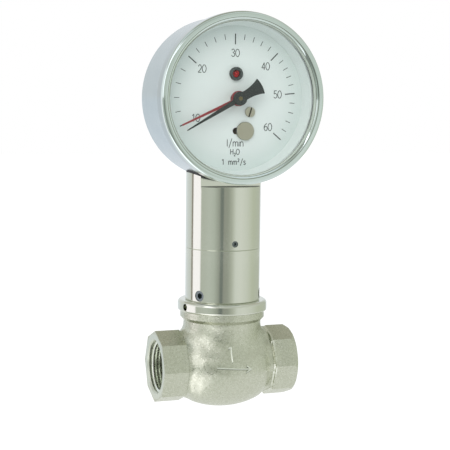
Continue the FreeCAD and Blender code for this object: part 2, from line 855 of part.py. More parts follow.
def separating_tube():
    return turned("separating_tube", "column", [
        ("tube_radius", TUBE_SEAT),
        ("tube_recess - tube_side_gap", TUBE_SEAT),
        ("tube_recess - tube_side_gap", TUBE_FLANGE_TOP),
        ("tube_radius + tube_wall", TUBE_FLANGE_TOP),
        ("tube_radius + tube_wall", TUBE_TOP),
        ("0", TUBE_TOP),
        ("0", TUBE_INSIDE_TOP),
        ("tube_radius", TUBE_INSIDE_TOP),
    ])


def seals_and_ring_nut():
    """The O-rings in the neck and under the tube, and the nut that clamps the tube's flange."""
    neck_ring = primitive(
        "Part::Torus", "neck_seal_ring", Radius1="(neck_groove_radius + neck_bore) / 2 + fit_gap",
        Radius2="neck_groove_depth / 2 - fit_gap")
    piece(neck_ring, "neck_seal", "column", "neck_top - neck_groove_depth / 2")
    tube_ring = primitive(
        "Part::Torus", "tube_seal_ring", Radius1="(groove_inner + groove_outer) / 2",
        Radius2="groove_depth / 2 + fit_gap")
    piece(tube_ring, "tube_seal", "column", "partition_top - groove_depth / 2 + fit_gap")
    tube("tube_ring_nut", "column", "tube_radius + tube_wall + ring_nut_gap", "tube_recess - fit_gap",
         TUBE_FLANGE_TOP, f"{TUBE_FLANGE_TOP} + ring_nut_height")


# Column

def lower_column():
    """The lower sleeve, clamped to the bonnet's stub by three set screws."""
    body = turned("lower_column", "column", [
        ("stub_radius + fit_gap", "flange_top"),
        ("column_radius - seam_bevel", "flange_top"),
        ("column_radius", "flange_top + seam_bevel"),
        ("column_radius", "lower_top - seam_bevel"),
        ("column_radius - seam_bevel", "lower_top"),
        ("joint_radius", "lower_top"),
        ("joint_radius", JOINT_TOP),
        ("column_bore", JOINT_TOP),
        ("column_bore", BONNET_TOP),
        ("stub_radius + fit_gap", BONNET_TOP),
    ])
    radial_holes(
        body, "clamp_hole", "clamp_screw_radius", "column_radius", "column_bore - 1",
        "clamp_screw_height", "clamp_screw_azimuth", 3)
    return body


def upper_column():
    """The upper sleeve with its solid head: a flat in front and a saddle for the round case on top."""
    head_top = "gauge_height - case_radius * 0.8"
    body = turned("upper_column", "column", [
        ("joint_radius + fit_gap", "lower_top"),
        ("column_radius - seam_bevel", "lower_top"),
        ("column_radius", "lower_top + seam_bevel"),
        ("column_radius", head_top),
        ("0", head_top),
        ("0", HEAD_BOTTOM),
        ("column_bore", HEAD_BOTTOM),
        ("column_bore", JOINT_TOP),
        ("joint_radius + fit_gap", JOINT_TOP),
    ])
    add_box(
        body, "head_flat", "Subtractive", "2 * column_radius + 2", "column_radius",
        "case_radius", x="-column_radius - 1", y="-column_radius - flat_depth", z="shelf_height")
    bore(
        body, "saddle", SADDLE_RADIUS, "2 * column_radius + 4",
        y="-column_radius - 2", z="gauge_height", rotation=Rotation(Vector(1, 0, 0), -90))
    head_holes(body, f"{HEAD_BOTTOM} - 1", "case_radius")
    radial_holes(
        body, "seam_hole", "seam_screw_radius", "column_radius", "joint_radius - 1",
        "seam_screw_height", "seam_screw_azimuth", 3)
    return body


def head_holes(body, start, length):
    """The upright holes for the rack and for the two case screws, which run through head and gasket."""
    bore(body, "rack_way", "rack_hole", length, x=RACK_ACROSS, y="-rack_middle", z=start)
    for end, out in CASE_SCREWS:
        bore(body, f"{end}_screw_hole", "case_screw_radius + fit_gap", length, y=f"-({out})", z=start)


def saddle_gasket():
    """The black gasket between the column's saddle and the round case."""
    blank = primitive(
        "Part::Cylinder", "gasket_blank", z=HEAD_BOTTOM,
        Radius="column_radius - gasket_inset", Height="case_radius")
    lying = Rotation(Vector(1, 0, 0), -90)
    outer = primitive(
        "Part::Cylinder", "gasket_outer", y="-flat_depth", z="gauge_height", rotation=lying,
        Radius=SADDLE_RADIUS, Height="flat_depth + gasket_back")
    inner = primitive(
        "Part::Cylinder", "gasket_inner", y="-flat_depth - 1", z="gauge_height", rotation=lying,
        Radius="case_radius", Height="flat_depth + gasket_back + 2")
    rack_way = primitive(
        "Part::Cylinder", "gasket_rack_way", x=RACK_ACROSS, y="-rack_middle", z=HEAD_BOTTOM,
        Radius="rack_hole", Height="case_radius")
    tools = [inner, rack_way]
    for end, out in CASE_SCREWS:
        tools.append(primitive(
            "Part::Cylinder", f"gasket_{end}_hole", y=f"-({out})", z=HEAD_BOTTOM,
            Radius="case_screw_radius + fit_gap", Height="case_radius"))
    pad_shape = cut("gasket_pad", common("gasket_saddle", blank, outer), fuse("gasket_tools", tools))
    return piece(pad_shape, "saddle_gasket", "column")


def set_screw(radius, length, flats):
    """A set screw along +Z whose hexagon socket opens at its top and is half as deep as the screw."""
    screw = Part.makeCylinder(radius, length)
    reach = flats / math.sqrt(3)
    corners = []
    for corner in range(7):
        angle = math.radians(60 * corner)
        corners.append(Vector(reach * math.cos(angle), reach * math.sin(angle), length))
    socket = Part.Face(Part.makePolygon(corners)).extrude(Vector(0, 0, -length / 2))
    return screw.cut(socket)


def screws_round_column(label, radius_name, level_name, azimuth_name, inner, count):
    """A group of equal set screws that point at the column's axis."""
    radius = value(radius_name) - value("fit_gap")
    start = value(inner)
    length = value("column_radius") - value("screw_sink") - start
    group = []
    for index in range(count):
        screw = set_screw(radius, length, radius)
        azimuth = value(azimuth_name) + 360 / count * index
        turn = Rotation(Vector(0, 0, 1), azimuth).multiply(Rotation(Vector(0, 1, 0), 90))
        radial = Vector(math.cos(math.radians(azimuth)), math.sin(math.radians(azimuth)), 0)
        screw.Placement = Placement(radial * start + Vector(0, 0, value(level_name)), turn)
        group.append(screw)
    return made(label, "column", Part.makeCompound(group))


def column_screws():
    screws_round_column(
        "clamp_screws", "clamp_screw_radius", "clamp_screw_height", "clamp_screw_azimuth",
        "stub_radius + press_gap", 3)
    screws_round_column(
        "seam_screws", "seam_screw_radius", "seam_screw_height", "seam_screw_azimuth",
        "joint_radius + press_gap", 3)


# Follower: the outer magnet's cradle and the rack that it lifts

def follower_cradle():
    """A cup round the tube for the ring magnet, with an arm up to a bridge over the tube's end."""
    body = turned("follower_cradle", "column", [
        (CRADLE_BORE, CRADLE_BOTTOM),
        ("cradle_radius", CRADLE_BOTTOM),
        ("cradle_radius", MAGNET_TOP),
        (CRADLE_ROOM, MAGNET_TOP),
        (CRADLE_ROOM, "magnet_bottom"),
        (CRADLE_BORE, "magnet_bottom"),
    ])
    add_box(
        body, "arm", "Additive", "arm_thickness", "arm_width",
        f"{BRIDGE_TOP} - {CRADLE_BOTTOM}", x="-cradle_radius",
        y="-rack_middle - arm_width / 2", z=CRADLE_BOTTOM)
    bore(body, "magnet_room", CRADLE_ROOM, "magnet_length + 1", z="magnet_bottom")
    add_box(
        body, "bridge", "Additive", "cradle_radius - pinion_teeth * gear_module / 2", "arm_width",
        "bridge_height", x="-cradle_radius", y="-rack_middle - arm_width / 2", z=BRIDGE_BOTTOM)
    return body


def follower_magnet():
    return tube("follower_magnet", "column", f"{CRADLE_BORE} + follower_magnet_gap",
                f"{CRADLE_ROOM} - fit_gap", "magnet_bottom", MAGNET_TOP)


def tooth_half_angle(teeth, radius):
    """Half the angle that an involute tooth fills at a radius, thinned by the backlash."""
    pitch = value("gear_module") * teeth / 2
    base = pitch * math.cos(math.radians(PRESSURE_ANGLE))
    reach = max(radius, base)
    pressure = math.acos(base / reach)
    involute = math.tan(pressure) - pressure
    pitch_involute = math.tan(math.radians(PRESSURE_ANGLE)) - math.radians(PRESSURE_ANGLE)
    return math.pi / 2 / teeth - value("backlash") / 2 / pitch + pitch_involute - involute


def gear(teeth, bore_radius, bottom, width, phase):
    """A spur gear with involute flanks, its first tooth centred on the phase angle in degrees."""
    pitch = value("gear_module") * teeth / 2
    root = pitch - DEDENDUM * value("gear_module")
    tip = pitch + ADDENDUM * value("gear_module")
    base = pitch * math.cos(math.radians(PRESSURE_ANGLE))
    flank = [root, max(base, root + 0.02), pitch, (pitch + tip) / 2, tip]
    corners = []
    for tooth in range(teeth):
        middle = math.radians(phase) + 2 * math.pi * tooth / teeth
        rising = [(radius, middle - tooth_half_angle(teeth, radius)) for radius in flank]
        falling = [(radius, middle + tooth_half_angle(teeth, radius)) for radius in reversed(flank)]
        corners += [Vector(radius * math.cos(angle), radius * math.sin(angle), bottom)
                    for radius, angle in rising + falling]
    corners.append(corners[0])
    blank = Part.Face(Part.makePolygon(corners)).extrude(Vector(0, 0, width))
    return blank.cut(Part.makeCylinder(bore_radius, width + 2, Vector(0, 0, bottom - 1)))


def rack():
    """The rack bar: it stands on the bridge and its teeth face the pinion from the left."""
    module = value("gear_module")
    pitch_line = -value("pinion_teeth") * module / 2
    tip = pitch_line + ADDENDUM * module
    root = pitch_line - DEDENDUM * module
    back = value(f"{RACK_ACROSS} - rack_depth / 2")
    foot = value(RACK_FOOT)
    spacing = math.pi * module
    top = 2 * spacing
    slope = math.tan(math.radians(PRESSURE_ANGLE))
    half = spacing / 4 - value("backlash") / 2
    root_half = half + (pitch_line - root) * slope
    tip_half = half - (tip - pitch_line) * slope
    below = math.ceil(value("stroke + rack_spare") / spacing)
    corners = [(back, foot), (root, foot)]
    for tooth in range(-below, 2):
        middle = tooth * spacing
        corners += [(root, middle - root_half), (tip, middle - tip_half),
                    (tip, middle + tip_half), (root, middle + root_half)]
    corners += [(root, top), (back, top), (back, foot)]
    bottom = value("rack_middle - rack_width / 2")
    wire = Part.makePolygon([Vector(across, up, bottom) for across, up in corners])
    return made("rack", "gauge", Part.Face(wire).extrude(Vector(0, 0, value("rack_width"))))


# Case, window and dial

def gauge_case():
    """The round case, with the ledge that the dial lies on."""
    body = turned("gauge_case", "gauge", [
        ("0", "-case_back"),
        ("case_radius", "-case_back"),
        ("case_radius", "case_rim"),
        (f"{DIAL_RADIUS} + fit_gap", "case_rim"),
        (f"{DIAL_RADIUS} + fit_gap", DIAL_BACK),
        (CASE_SEAT, DIAL_BACK),
        (CASE_SEAT, "case_wall - case_back"),
        ("0", "case_wall - case_back"),
    ])
    round_edges(body, "case_rounding", "case_round", circle_at("case_radius", "-case_back"))
    down = Rotation(Vector(1, 0, 0), 90)
    bore(body, "rack_way", "rack_hole", "case_radius / 2", x=RACK_ACROSS, y="-case_radius / 2 - 10",
         z="rack_middle", rotation=down)
    for end, out in CASE_SCREWS:
        bore(body, f"{end}_screw_hole", "case_screw_radius + fit_gap", "case_radius / 2",
             y="-case_radius / 2 - 10", z=out, rotation=down)
        bore(body, f"{end}_spot_face", "case_screw_head + fit_gap", "spot_face",
             y=f"spot_face - {CASE_SEAT}", z=out, rotation=down)
    bore(body, "gland_hole", "gland_thread + fit_gap", "case_wall + 2", y="gland_level", z="-case_back - 1")
    return body


def bezel_ring():
    """The bezel, rounded outside and falling inwards as a cone to its lip on the window."""
    body = turned("bezel_ring", "gauge", [
        (f"{BEZEL_RADIUS} - bezel_wall", "case_rim - bezel_skirt"),
        (BEZEL_RADIUS, "case_rim - bezel_skirt"),
        (BEZEL_RADIUS, "bezel_front"),
        (BEZEL_CREST, "bezel_front"),
        (BEZEL_LIP_RADIUS, f"{WINDOW_FRONT} + fit_gap + bezel_lip"),
        (BEZEL_LIP_RADIUS, f"{WINDOW_FRONT} + fit_gap"),
        (f"{WINDOW_RADIUS} + window_gap", f"{WINDOW_FRONT} + fit_gap"),
        (f"{WINDOW_RADIUS} + window_gap", WINDOW_BACK),
        (f"{BEZEL_RADIUS} - bezel_wall", WINDOW_BACK),
    ])
    round_edges(body, "bezel_rounding", "bezel_round", circle_at(BEZEL_RADIUS, "bezel_front"))
    return body


def window_parts():
    tube("window_seal", "gauge", f"{SEAL_RADIUS} - seal_width", SEAL_RADIUS,
         SEAL_BACK, f"{SEAL_BACK} + seal_thickness")
    turned("window", "gauge", [
        ("0", WINDOW_BACK),
        (WINDOW_RADIUS, WINDOW_BACK),
        (WINDOW_RADIUS, WINDOW_FRONT),
        ("0", WINDOW_FRONT),
    ])
    turned("spacer_ring", "gauge", [
        (RING_INNER, "dial_front"),
        (DIAL_RADIUS, "dial_front"),
        (DIAL_RADIUS, "case_rim"),
        (f"{RING_INNER} + ring_slope", "case_rim"),
    ])


def dial():
    def draw(sketch):
        circle(sketch, "0", "0", DIAL_RADIUS)
        circle(sketch, "0", "0", "dial_hole")
        circle(sketch, "0", "lamp_level", "holder_radius + fit_gap")
        circle(sketch, ADJUSTER_ACROSS, ADJUSTER_LEVEL, "adjuster_hole")
        slot(sketch, "disc_across - disc_travel", "disc_across", "disc_level", "slot_half")
    return plate("dial", "gauge", DIAL_BACK, "dial_thickness", draw)


# Movement

def cornered(sketch, half_width, bottom, top, corner):
    """A rectangle with its corners cut off."""
    outline(sketch, [
        (f"-{half_width} + {corner}", bottom), (f"{half_width} - {corner}", bottom),
        (half_width, f"{bottom} + {corner}"), (half_width, f"{top} - {corner}"),
        (f"{half_width} - {corner}", top), (f"-{half_width} + {corner}", top),
        (f"-{half_width}", f"{top} - {corner}"), (f"-{half_width}", f"{bottom} + {corner}"),
    ])


def movement_plates():
    def draw_back(sketch):
        cornered(sketch, "plate_half_width", "plate_bottom", "back_plate_top", "plate_corner")
        circle(sketch, "0", "0", "arbor_radius + run_gap")
        for across, level in PILLARS:
            circle(sketch, across, level, "plate_screw_radius + fit_gap")

    def draw_front(sketch):
        cornered(sketch, "plate_half_width", "plate_bottom", "front_plate_top", "plate_corner")
        circle(sketch, "0", "0", "sleeve_radius + run_gap")
        circle(sketch, ADJUSTER_ACROSS, ADJUSTER_LEVEL, "adjuster_shaft + run_gap")
        slot(sketch, "disc_across - disc_travel", "disc_across", "disc_level", "slot_half")
        for across, level in PILLARS:
            circle(sketch, across, level, "plate_screw_radius + fit_gap")

    plate("back_plate", "gauge", BACK_PLATE_BACK, "plate_thickness", draw_back)
    plate("front_plate", "gauge", "front_plate_back", "plate_thickness", draw_front)


def rack_guide():
    """A block on the back plate with a groove in which the rack bar slides."""
    body = doc.addObject("PartDesign::Body", "rack_guide")
    side = "guide_wall + guide_gap"
    add_box(
        body, "block", "Additive", f"rack_depth + 2 * ({side})",
        "guide_height", "rack_middle + rack_width / 2 + guide_wall - back_plate_front",
        x=f"{RACK_ACROSS} - rack_depth / 2 - ({side})", y="guide_level", z="back_plate_front")
    add_box(
        body, "groove", "Subtractive", "rack_depth + 2 * guide_gap", "guide_height + 2",
        "rack_width + 2 * guide_gap", x=f"{RACK_ACROSS} - rack_depth / 2 - guide_gap",
        y="guide_level - 1", z="rack_middle - rack_width / 2 - guide_gap")
    return piece(body, "rack_guide", "gauge")


def pillars_and_screws():
    """Feet on the case, pillars between the plates, and the screws that run through both."""
    radius = value("pillar_radius")
    hole = value("plate_screw_radius + fit_gap")
    case_floor = value("case_wall - case_back")
    back = value(BACK_PLATE_BACK)
    between = value("back_plate_front")
    front_back = value("front_plate_back")
    front = value(FRONT_PLATE_FRONT)
    socket_depth = value("foot_socket")
    thread = value("foot_thread")
    head_height = value("plate_screw_head_height")
    slit = value("plate_screw_slit")
    slit_depth = value("plate_screw_slit_depth")
    reach = value("plate_screw_head") + 1
    feet, pillars, screws = [], [], []
    for across, level in PILLARS:
        place = Vector(value(across), value(level), 0)
        foot = Part.makeCylinder(radius, back - case_floor, place + Vector(0, 0, case_floor))
        socket = Part.makeCylinder(hole, socket_depth, place + Vector(0, 0, back - socket_depth))
        feet.append(foot.cut(socket))
        post = Part.makeCylinder(radius, front_back - between, place + Vector(0, 0, between))
        way = Part.makeCylinder(hole, front_back - between + 2, place + Vector(0, 0, between - 1))
        pillars.append(post.cut(way))
        shank = Part.makeCylinder(
            value("plate_screw_radius"), front - back + thread, place + Vector(0, 0, back - thread))
        head = Part.makeCylinder(value("plate_screw_head"), head_height, place + Vector(0, 0, front))
        corner = Vector(-reach, -slit / 2, front + head_height - slit_depth)
        groove = Part.makeBox(2 * reach, slit, slit_depth + 1, place + corner)
        screws.append(shank.fuse(head).cut(groove))
    made("movement_feet", "gauge", Part.makeCompound(feet))
    made("movement_pillars", "gauge", Part.makeCompound(pillars))
    made("plate_screws", "gauge", Part.makeCompound(screws))


def case_screws():
    """Two cap screws from inside the case down into the column's head."""
    radius = value("case_screw_radius")
    head = value("case_screw_head")
    head_height = value("case_screw_head_height")
    socket = value("case_screw_socket")
    seat = value(f"-{CASE_SEAT}")
    group = []
    for _, out in CASE_SCREWS:
        place = Vector(0, seat, value(out))
        screw = set_screw(head, head_height, socket)
        screw.Placement = Placement(place, Rotation(Vector(1, 0, 0), -90))
        shank = Part.makeCylinder(radius, value("case_screw_length"), place, Vector(0, -1, 0))
        group.append(screw.fuse(shank))
    return made("case_screws", "gauge", Part.makeCompound(group))


def arbor_parts():
    """The pointer's arbor and its pinion, which the rack turns."""
    tail = f"{BACK_PLATE_BACK} - arbor_tail"
    end = "pointer_level + pointer_hub_height / 2 + arbor_rise"
    turned("pointer_arbor", "gauge", [("0", tail), ("arbor_radius", tail), ("arbor_radius", end), ("0", end)])
    teeth = int(value("pinion_teeth"))
    bottom = value("rack_middle - pinion_width / 2")
    wheel = gear(teeth, value("arbor_radius"), bottom, value("pinion_width"), 180 / teeth)
    made("arbor_pinion", "gauge", wheel)


def set_parts():
    """The red hand's sleeve on the arbor, with its gear behind the dial."""
    tube("set_sleeve", "gauge", "arbor_radius + run_gap", "sleeve_radius",
         "front_plate_back - sleeve_tail", "set_level + set_hub_height / 2")
    wheel = gear(
        int(value("set_gear_teeth")), value("sleeve_radius"), value("set_gear_back"),
        value("set_gear_width"), value("adjuster_azimuth"))
    made("set_gear", "gauge", wheel)


def adjuster_parts():
    """The slotted screw on the dial, with the pinion that turns the red hand's gear."""
    body = turned("adjuster_screw", None, [
        ("0", STEM_BACK),
        ("adjuster_shaft", STEM_BACK),
        ("adjuster_shaft", HEAD_BACK),
        ("adjuster_head", HEAD_BACK),
        ("adjuster_head", f"{HEAD_BACK} + adjuster_head_height"),
        ("0", f"{HEAD_BACK} + adjuster_head_height"),
    ])
    add_box(
        body, "driver_slot", "Subtractive", "2 * adjuster_head + 2", "adjuster_slot_width",
        "adjuster_slot_depth + 1", x="-adjuster_head - 1", y="-adjuster_slot_width / 2",
        z=f"{HEAD_BACK} + adjuster_head_height - adjuster_slot_depth")
    on_dial(body, ADJUSTER_ACROSS, ADJUSTER_LEVEL, "adjuster_slot_azimuth")
    teeth = int(value("adjuster_teeth"))
    phase = value("adjuster_azimuth") + 180 + 180 / teeth
    wheel = gear(teeth, value("adjuster_shaft"), value("set_gear_back"), value("set_gear_width"), phase)
    on_dial(made("adjuster_pinion", None, wheel), ADJUSTER_ACROSS, ADJUSTER_LEVEL, "0")


def on_dial(item, across, level, azimuth):
    """Stands a piece at a place on the dial, turned about the dial's own axis."""
    turn = FACING_READER.multiply(Rotation(Vector(0, 0, 1), value(azimuth)))
    put(item, x=f"half_length + {across}", z=f"gauge_height + {level}", rotation=turn)
    return item


# Hands, clamp disc and lamp

def hand(label, level, thickness, reach, tip_half, root_half, hub, hub_height, azimuth, tail):
    """A hand drawn along its own +X: a tapered blade, a hub with a hole, and a flared tail if it has one."""
    body = doc.addObject("PartDesign::Body", label)

    def draw_blade(sketch):
        outline(sketch, [
            ("0", f"-{root_half}"),
            (f"{reach} - {tip_half}", f"-{tip_half}", f"{tip_half} * tip_roundness"),
            (f"{reach} - {tip_half}", tip_half),
            ("0", root_half),
        ])

    def draw_tail(sketch):
        flank = "-tail_hollow * tail_reach"
        across = "-tail_reach * cos(tail_half_angle * 1 deg)"
        up = "tail_reach * sin(tail_half_angle * 1 deg)"
        outline(sketch, [
            (f"-tail_root_across * {hub}", f"tail_root_up * {hub}", flank),
            (across, up, "tail_reach"),
            (across, f"-{up}", flank),
            (f"-tail_root_across * {hub}", f"-tail_root_up * {hub}"),
        ])

    bottom = f"{level} - {thickness} / 2"
    hub_bottom = f"{level} - {hub_height} / 2"
    pad(body, f"{label}_blade", bottom, thickness, draw_blade)
    if tail:
        pad(body, f"{label}_tail", bottom, thickness, draw_tail)
    pad(body, f"{label}_hub", hub_bottom, hub_height, lambda sketch: circle(sketch, "0", "0", hub))
    hole = "arbor_radius" if tail else "sleeve_radius"
    bore(body, f"{label}_hole", f"{hole} + press_gap", f"{hub_height} + 2", z=f"{hub_bottom} - 1")
    piece(body, label)
    return on_dial(body, "0", "0", azimuth)


def hands():
    hand("pointer", "pointer_level", "pointer_thickness", "pointer_reach", "pointer_tip_half",
         "pointer_root_half", "pointer_hub", "pointer_hub_height", "pointer_azimuth", True)
    hand("set_pointer", "set_level", "pointer_thickness", "set_reach", "set_tip_half",
         "set_root_half", "set_hub", "set_hub_height", "set_azimuth", False)


def clamp_parts():
    """The disc on the dial, the stem through its slot, the brass lever behind and the nut that holds it."""
    disc_front = f"{HEAD_BACK} + disc_thickness"
    disc = turned("clamp_disc", None, [
        ("0", HEAD_BACK),
        ("disc_radius", HEAD_BACK),
        ("disc_radius", f"{disc_front} - disc_bevel"),
        ("disc_radius - disc_bevel", disc_front),
        ("0", disc_front),
    ])
    stem = turned("clamp_stem", None, [
        ("0", STEM_BACK), ("stem_radius", STEM_BACK), ("stem_radius", HEAD_BACK), ("0", HEAD_BACK),
    ])

    def draw(sketch):
        outline(sketch, [
            ("-lever_left", "-lever_half_height"),
            ("lever_right", "-lever_half_height", "lever_half_height * lever_roundness"),
            ("lever_right", "lever_half_height"),
            ("-lever_left", "lever_half_height"),
        ])
        circle(sketch, "0", "0", "stem_radius + press_gap")

    lever = plate("clamp_lever", None, f"{FRONT_PLATE_FRONT} + head_gap", "lever_thickness", draw)
    nut = tube("clamp_nut", None, "stem_radius + press_gap", "stem_radius + stem_nut_wall",
               STEM_BACK, "front_plate_back - stem_nut_gap")
    for item in (disc, stem, lever, nut):
        on_dial(item, "disc_across", "disc_level", "0")


def lamp_parts():
    """The switch board behind the dial, its posts, and the red lamp in its black holder."""
    def draw(sketch):
        outline(sketch, [
            ("-board_half_width", "board_bottom"), ("board_half_width", "board_bottom"),
            ("board_half_width", "board_top"), ("-board_half_width", "board_top"),
        ])

    plate("switch_board", "gauge", "board_back", "board_thickness", draw)
    posts = []
    for side in (-1, 1):
        place = Vector(side * value("board_post_across"), value("board_post_level"), value(FRONT_PLATE_FRONT))
        posts.append(Part.makeCylinder(
            value("board_post_radius"), value(f"board_back - {FRONT_PLATE_FRONT}"), place))
    made("board_posts", "gauge", Part.makeCompound(posts))
    lamp = turned("lamp", None, [
        ("0", BOARD_FRONT),
        ("lamp_radius", BOARD_FRONT),
        ("lamp_radius", "lamp_front - lamp_radius"),
        ("0.55 * lamp_radius", "lamp_front - 0.25 * lamp_radius"),
        ("0", "lamp_front"),
    ])
    holder = turned("lamp_holder", None, [
        ("lamp_radius + lamp_gap", BOARD_FRONT),
        ("holder_radius", BOARD_FRONT),
        ("holder_radius", "dial_front"),
        ("holder_rim_radius", "dial_front"),
        ("holder_rim_radius", "holder_front - holder_bevel"),
        ("holder_rim_radius - holder_bevel", "holder_front"),
        ("lamp_radius + holder_bevel", "holder_front"),
        ("lamp_radius + lamp_gap", "holder_front - holder_mouth"),
    ])
    for item in (lamp, holder):
        on_dial(item, "0", "lamp_level", "0")


def gland_parts():
    """The cable gland at the back of the case, with its lock nut inside."""
    hex_back = "(-case_back - gland_hex)"
    cap_back = f"({hex_back} - gland_cap_length)"
    body = doc.addObject("PartDesign::Body", "gland_body")

    def draw_hex(sketch):
        reach = "gland_flats / 2 / cos(30 deg)"
        outline(sketch, [
            (f"{reach} * cos({60 * corner} deg)", f"{reach} * sin({60 * corner} deg)") for corner in range(6)
        ])

    def draw_stud(sketch):
        circle(sketch, "0", "0", "gland_thread")

    pad(body, "gland_hexagon", hex_back, "gland_hex", draw_hex)
    pad(body, "gland_stud", "-case_back", "case_wall + gland_nut_height + gland_stud_end", draw_stud)
    bore(body, "gland_way", "gland_mouth", "gland_hex + case_wall + gland_nut_height + 4",
         z=f"{hex_back} - 1")
    piece(body, "gland_body")
    cap = turned("gland_cap", None, [
        ("gland_mouth", cap_back),
        ("gland_cap_radius - gland_cap_bevel", cap_back),
        ("gland_cap_radius", f"{cap_back} + gland_cap_slope"),
        ("gland_cap_radius", hex_back),
        ("gland_mouth", hex_back),
    ])
    insert = tube("gland_insert", None, "gland_insert_bore", "gland_mouth - fit_gap",
                  f"{cap_back} + insert_inset", "-case_back")
    nut = polygon_prism("gland_nut", None, "gland_nut_flats", "case_wall - case_back", "gland_nut_height",
                        "gland_thread + fit_gap")
    for item in (body, cap, insert, nut):
        on_dial(item, "0", "gland_level", "0")


for build in (
        valve_body, seat_ring, piston, piston_rod, rod_fittings, return_spring, bonnet, guide_bush,
        separating_tube, seals_and_ring_nut, lower_column, upper_column, saddle_gasket, column_screws,
        follower_cradle, follower_magnet, rack, gauge_case, bezel_ring, window_parts, dial,
        movement_plates, rack_guide, pillars_and_screws, case_screws, arbor_parts, set_parts,
        adjuster_parts, hands, clamp_parts, lamp_parts, gland_parts):
    build()

doc.recompute()
for item in doc.Objects:
    if "Invalid" in item.State or "Error" in item.State:
        raise RuntimeError(f"{item.Name} did not build: {item.State}")
for item in PIECES:
    if item.Shape.isNull() or not item.Shape.isValid():
        raise RuntimeError(f"{item.Label} has no valid shape")
for item in PIECES:
    item.Shape.exportStep(f"parts/{item.Label}.step")
    box = item.Shape.BoundBox
    print(f"{item.Label:18s} {item.Shape.Volume:10.1f} mm3, z {box.ZMin:7.2f} to {box.ZMax:7.2f}, "
          f"{len(item.Shape.Solids)} solids")
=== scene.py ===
# %% [markdown]
# # A flow meter with a round gauge
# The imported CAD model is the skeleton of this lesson: each of its nodes already has its place and its
# size in metres. Blender adds what the eye looks for: the skin of the sand casting, the screw thread in
# the ports, the print on the dial, and finishes that behave like turned steel, chrome, paint and glass.

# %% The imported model
import math

import bmesh
import bpy
from mathutils import Matrix, Vector
from mathutils.bvhtree import BVHTree


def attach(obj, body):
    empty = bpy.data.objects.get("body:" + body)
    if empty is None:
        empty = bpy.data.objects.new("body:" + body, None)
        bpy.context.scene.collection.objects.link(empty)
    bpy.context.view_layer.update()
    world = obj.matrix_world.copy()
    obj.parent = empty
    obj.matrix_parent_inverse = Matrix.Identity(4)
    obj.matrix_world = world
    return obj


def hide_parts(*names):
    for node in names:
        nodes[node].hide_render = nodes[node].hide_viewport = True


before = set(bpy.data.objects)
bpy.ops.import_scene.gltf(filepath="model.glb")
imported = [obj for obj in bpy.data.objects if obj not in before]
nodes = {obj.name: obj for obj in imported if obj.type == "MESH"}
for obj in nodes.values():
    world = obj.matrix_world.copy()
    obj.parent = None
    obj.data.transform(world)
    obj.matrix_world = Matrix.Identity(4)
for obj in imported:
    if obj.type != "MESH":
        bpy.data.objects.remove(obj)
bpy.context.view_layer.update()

# %% [markdown]
# ## Two drawing boards
# The part has two natural places to draw from. Everything below the gauge turns about the upright axis
# of the column, and everything on the gauge turns about the axis of the hands and faces the reader. Each
# place is one matrix that takes millimetres on that board to metres in the model, so the numbers below
# stay as readable as those on a workshop drawing.

# %% Places and units
MM = 0.001
COLUMN_ACROSS = 0.0458
GAUGE_HEIGHT = 0.17307
ON_PIPE = Matrix.Scale(MM, 4)
ON_COLUMN = Matrix.Translation((COLUMN_ACROSS, 0, 0)) @ Matrix.Scale(MM, 4)
ON_GAUGE = (Matrix.Translation((COLUMN_ACROSS, 0, GAUGE_HEIGHT)) @ Matrix.Rotation(math.radians(90), 4, "X")
            @ Matrix.Scale(MM, 4))
PORTS_APART = 91.6


def tone(*screen):
    """A colour as it is read off a screen, from 0 to 255, in the linear light that Blender counts in."""
    return tuple(((c / 255 + 0.055) / 1.055) ** 2.4 if c > 10 else c / 255 / 12.92 for c in screen)


print("ports", PORTS_APART, "mm apart, gauge", round(GAUGE_HEIGHT / MM, 2), "mm over the pipe's axis")

# %% [markdown]
# ## Camera
# The picture was taken from the left of the dial and a little above the middle of the column, with a
# long lens. The camera's three directions are written down as they were found by lining up the model
# with the picture's corners and circles, which is surer than turning the camera by eye.

# %% Camera
EYE = (-0.213417, -0.725835, 0.168109)
right = Vector((0.94152593, -0.33672689, 0.01199699))
up = Vector((0.0222579, 0.09768453, 0.9949685))
back = Vector((-0.33620457, -0.93652162, 0.09946735))
lens = bpy.data.cameras.new("camera")
lens.lens = 94.94
lens.sensor_width = 36
camera = bpy.data.objects.new("camera", lens)
bpy.context.collection.objects.link(camera)
camera.matrix_world = Matrix.Translation(EYE) @ Matrix((right, up, back)).transposed().to_4x4()
bpy.context.scene.camera = camera
bpy.context.scene.view_settings.view_transform = "Standard"
print("camera", tuple(round(c, 3) for c in camera.location))

# %% [markdown]
# ## Writing finishes
# A finish is a Principled surface and a few nodes. Wiring nodes by hand hides the idea, so a small class
# wraps a socket and lets Python's own operators build the Math nodes, and one method makes any other node
# from its type, its settings and what goes into its sockets. The last methods of a finish name what recurs
# on real surfaces: mottled colour, worn patches and grit.

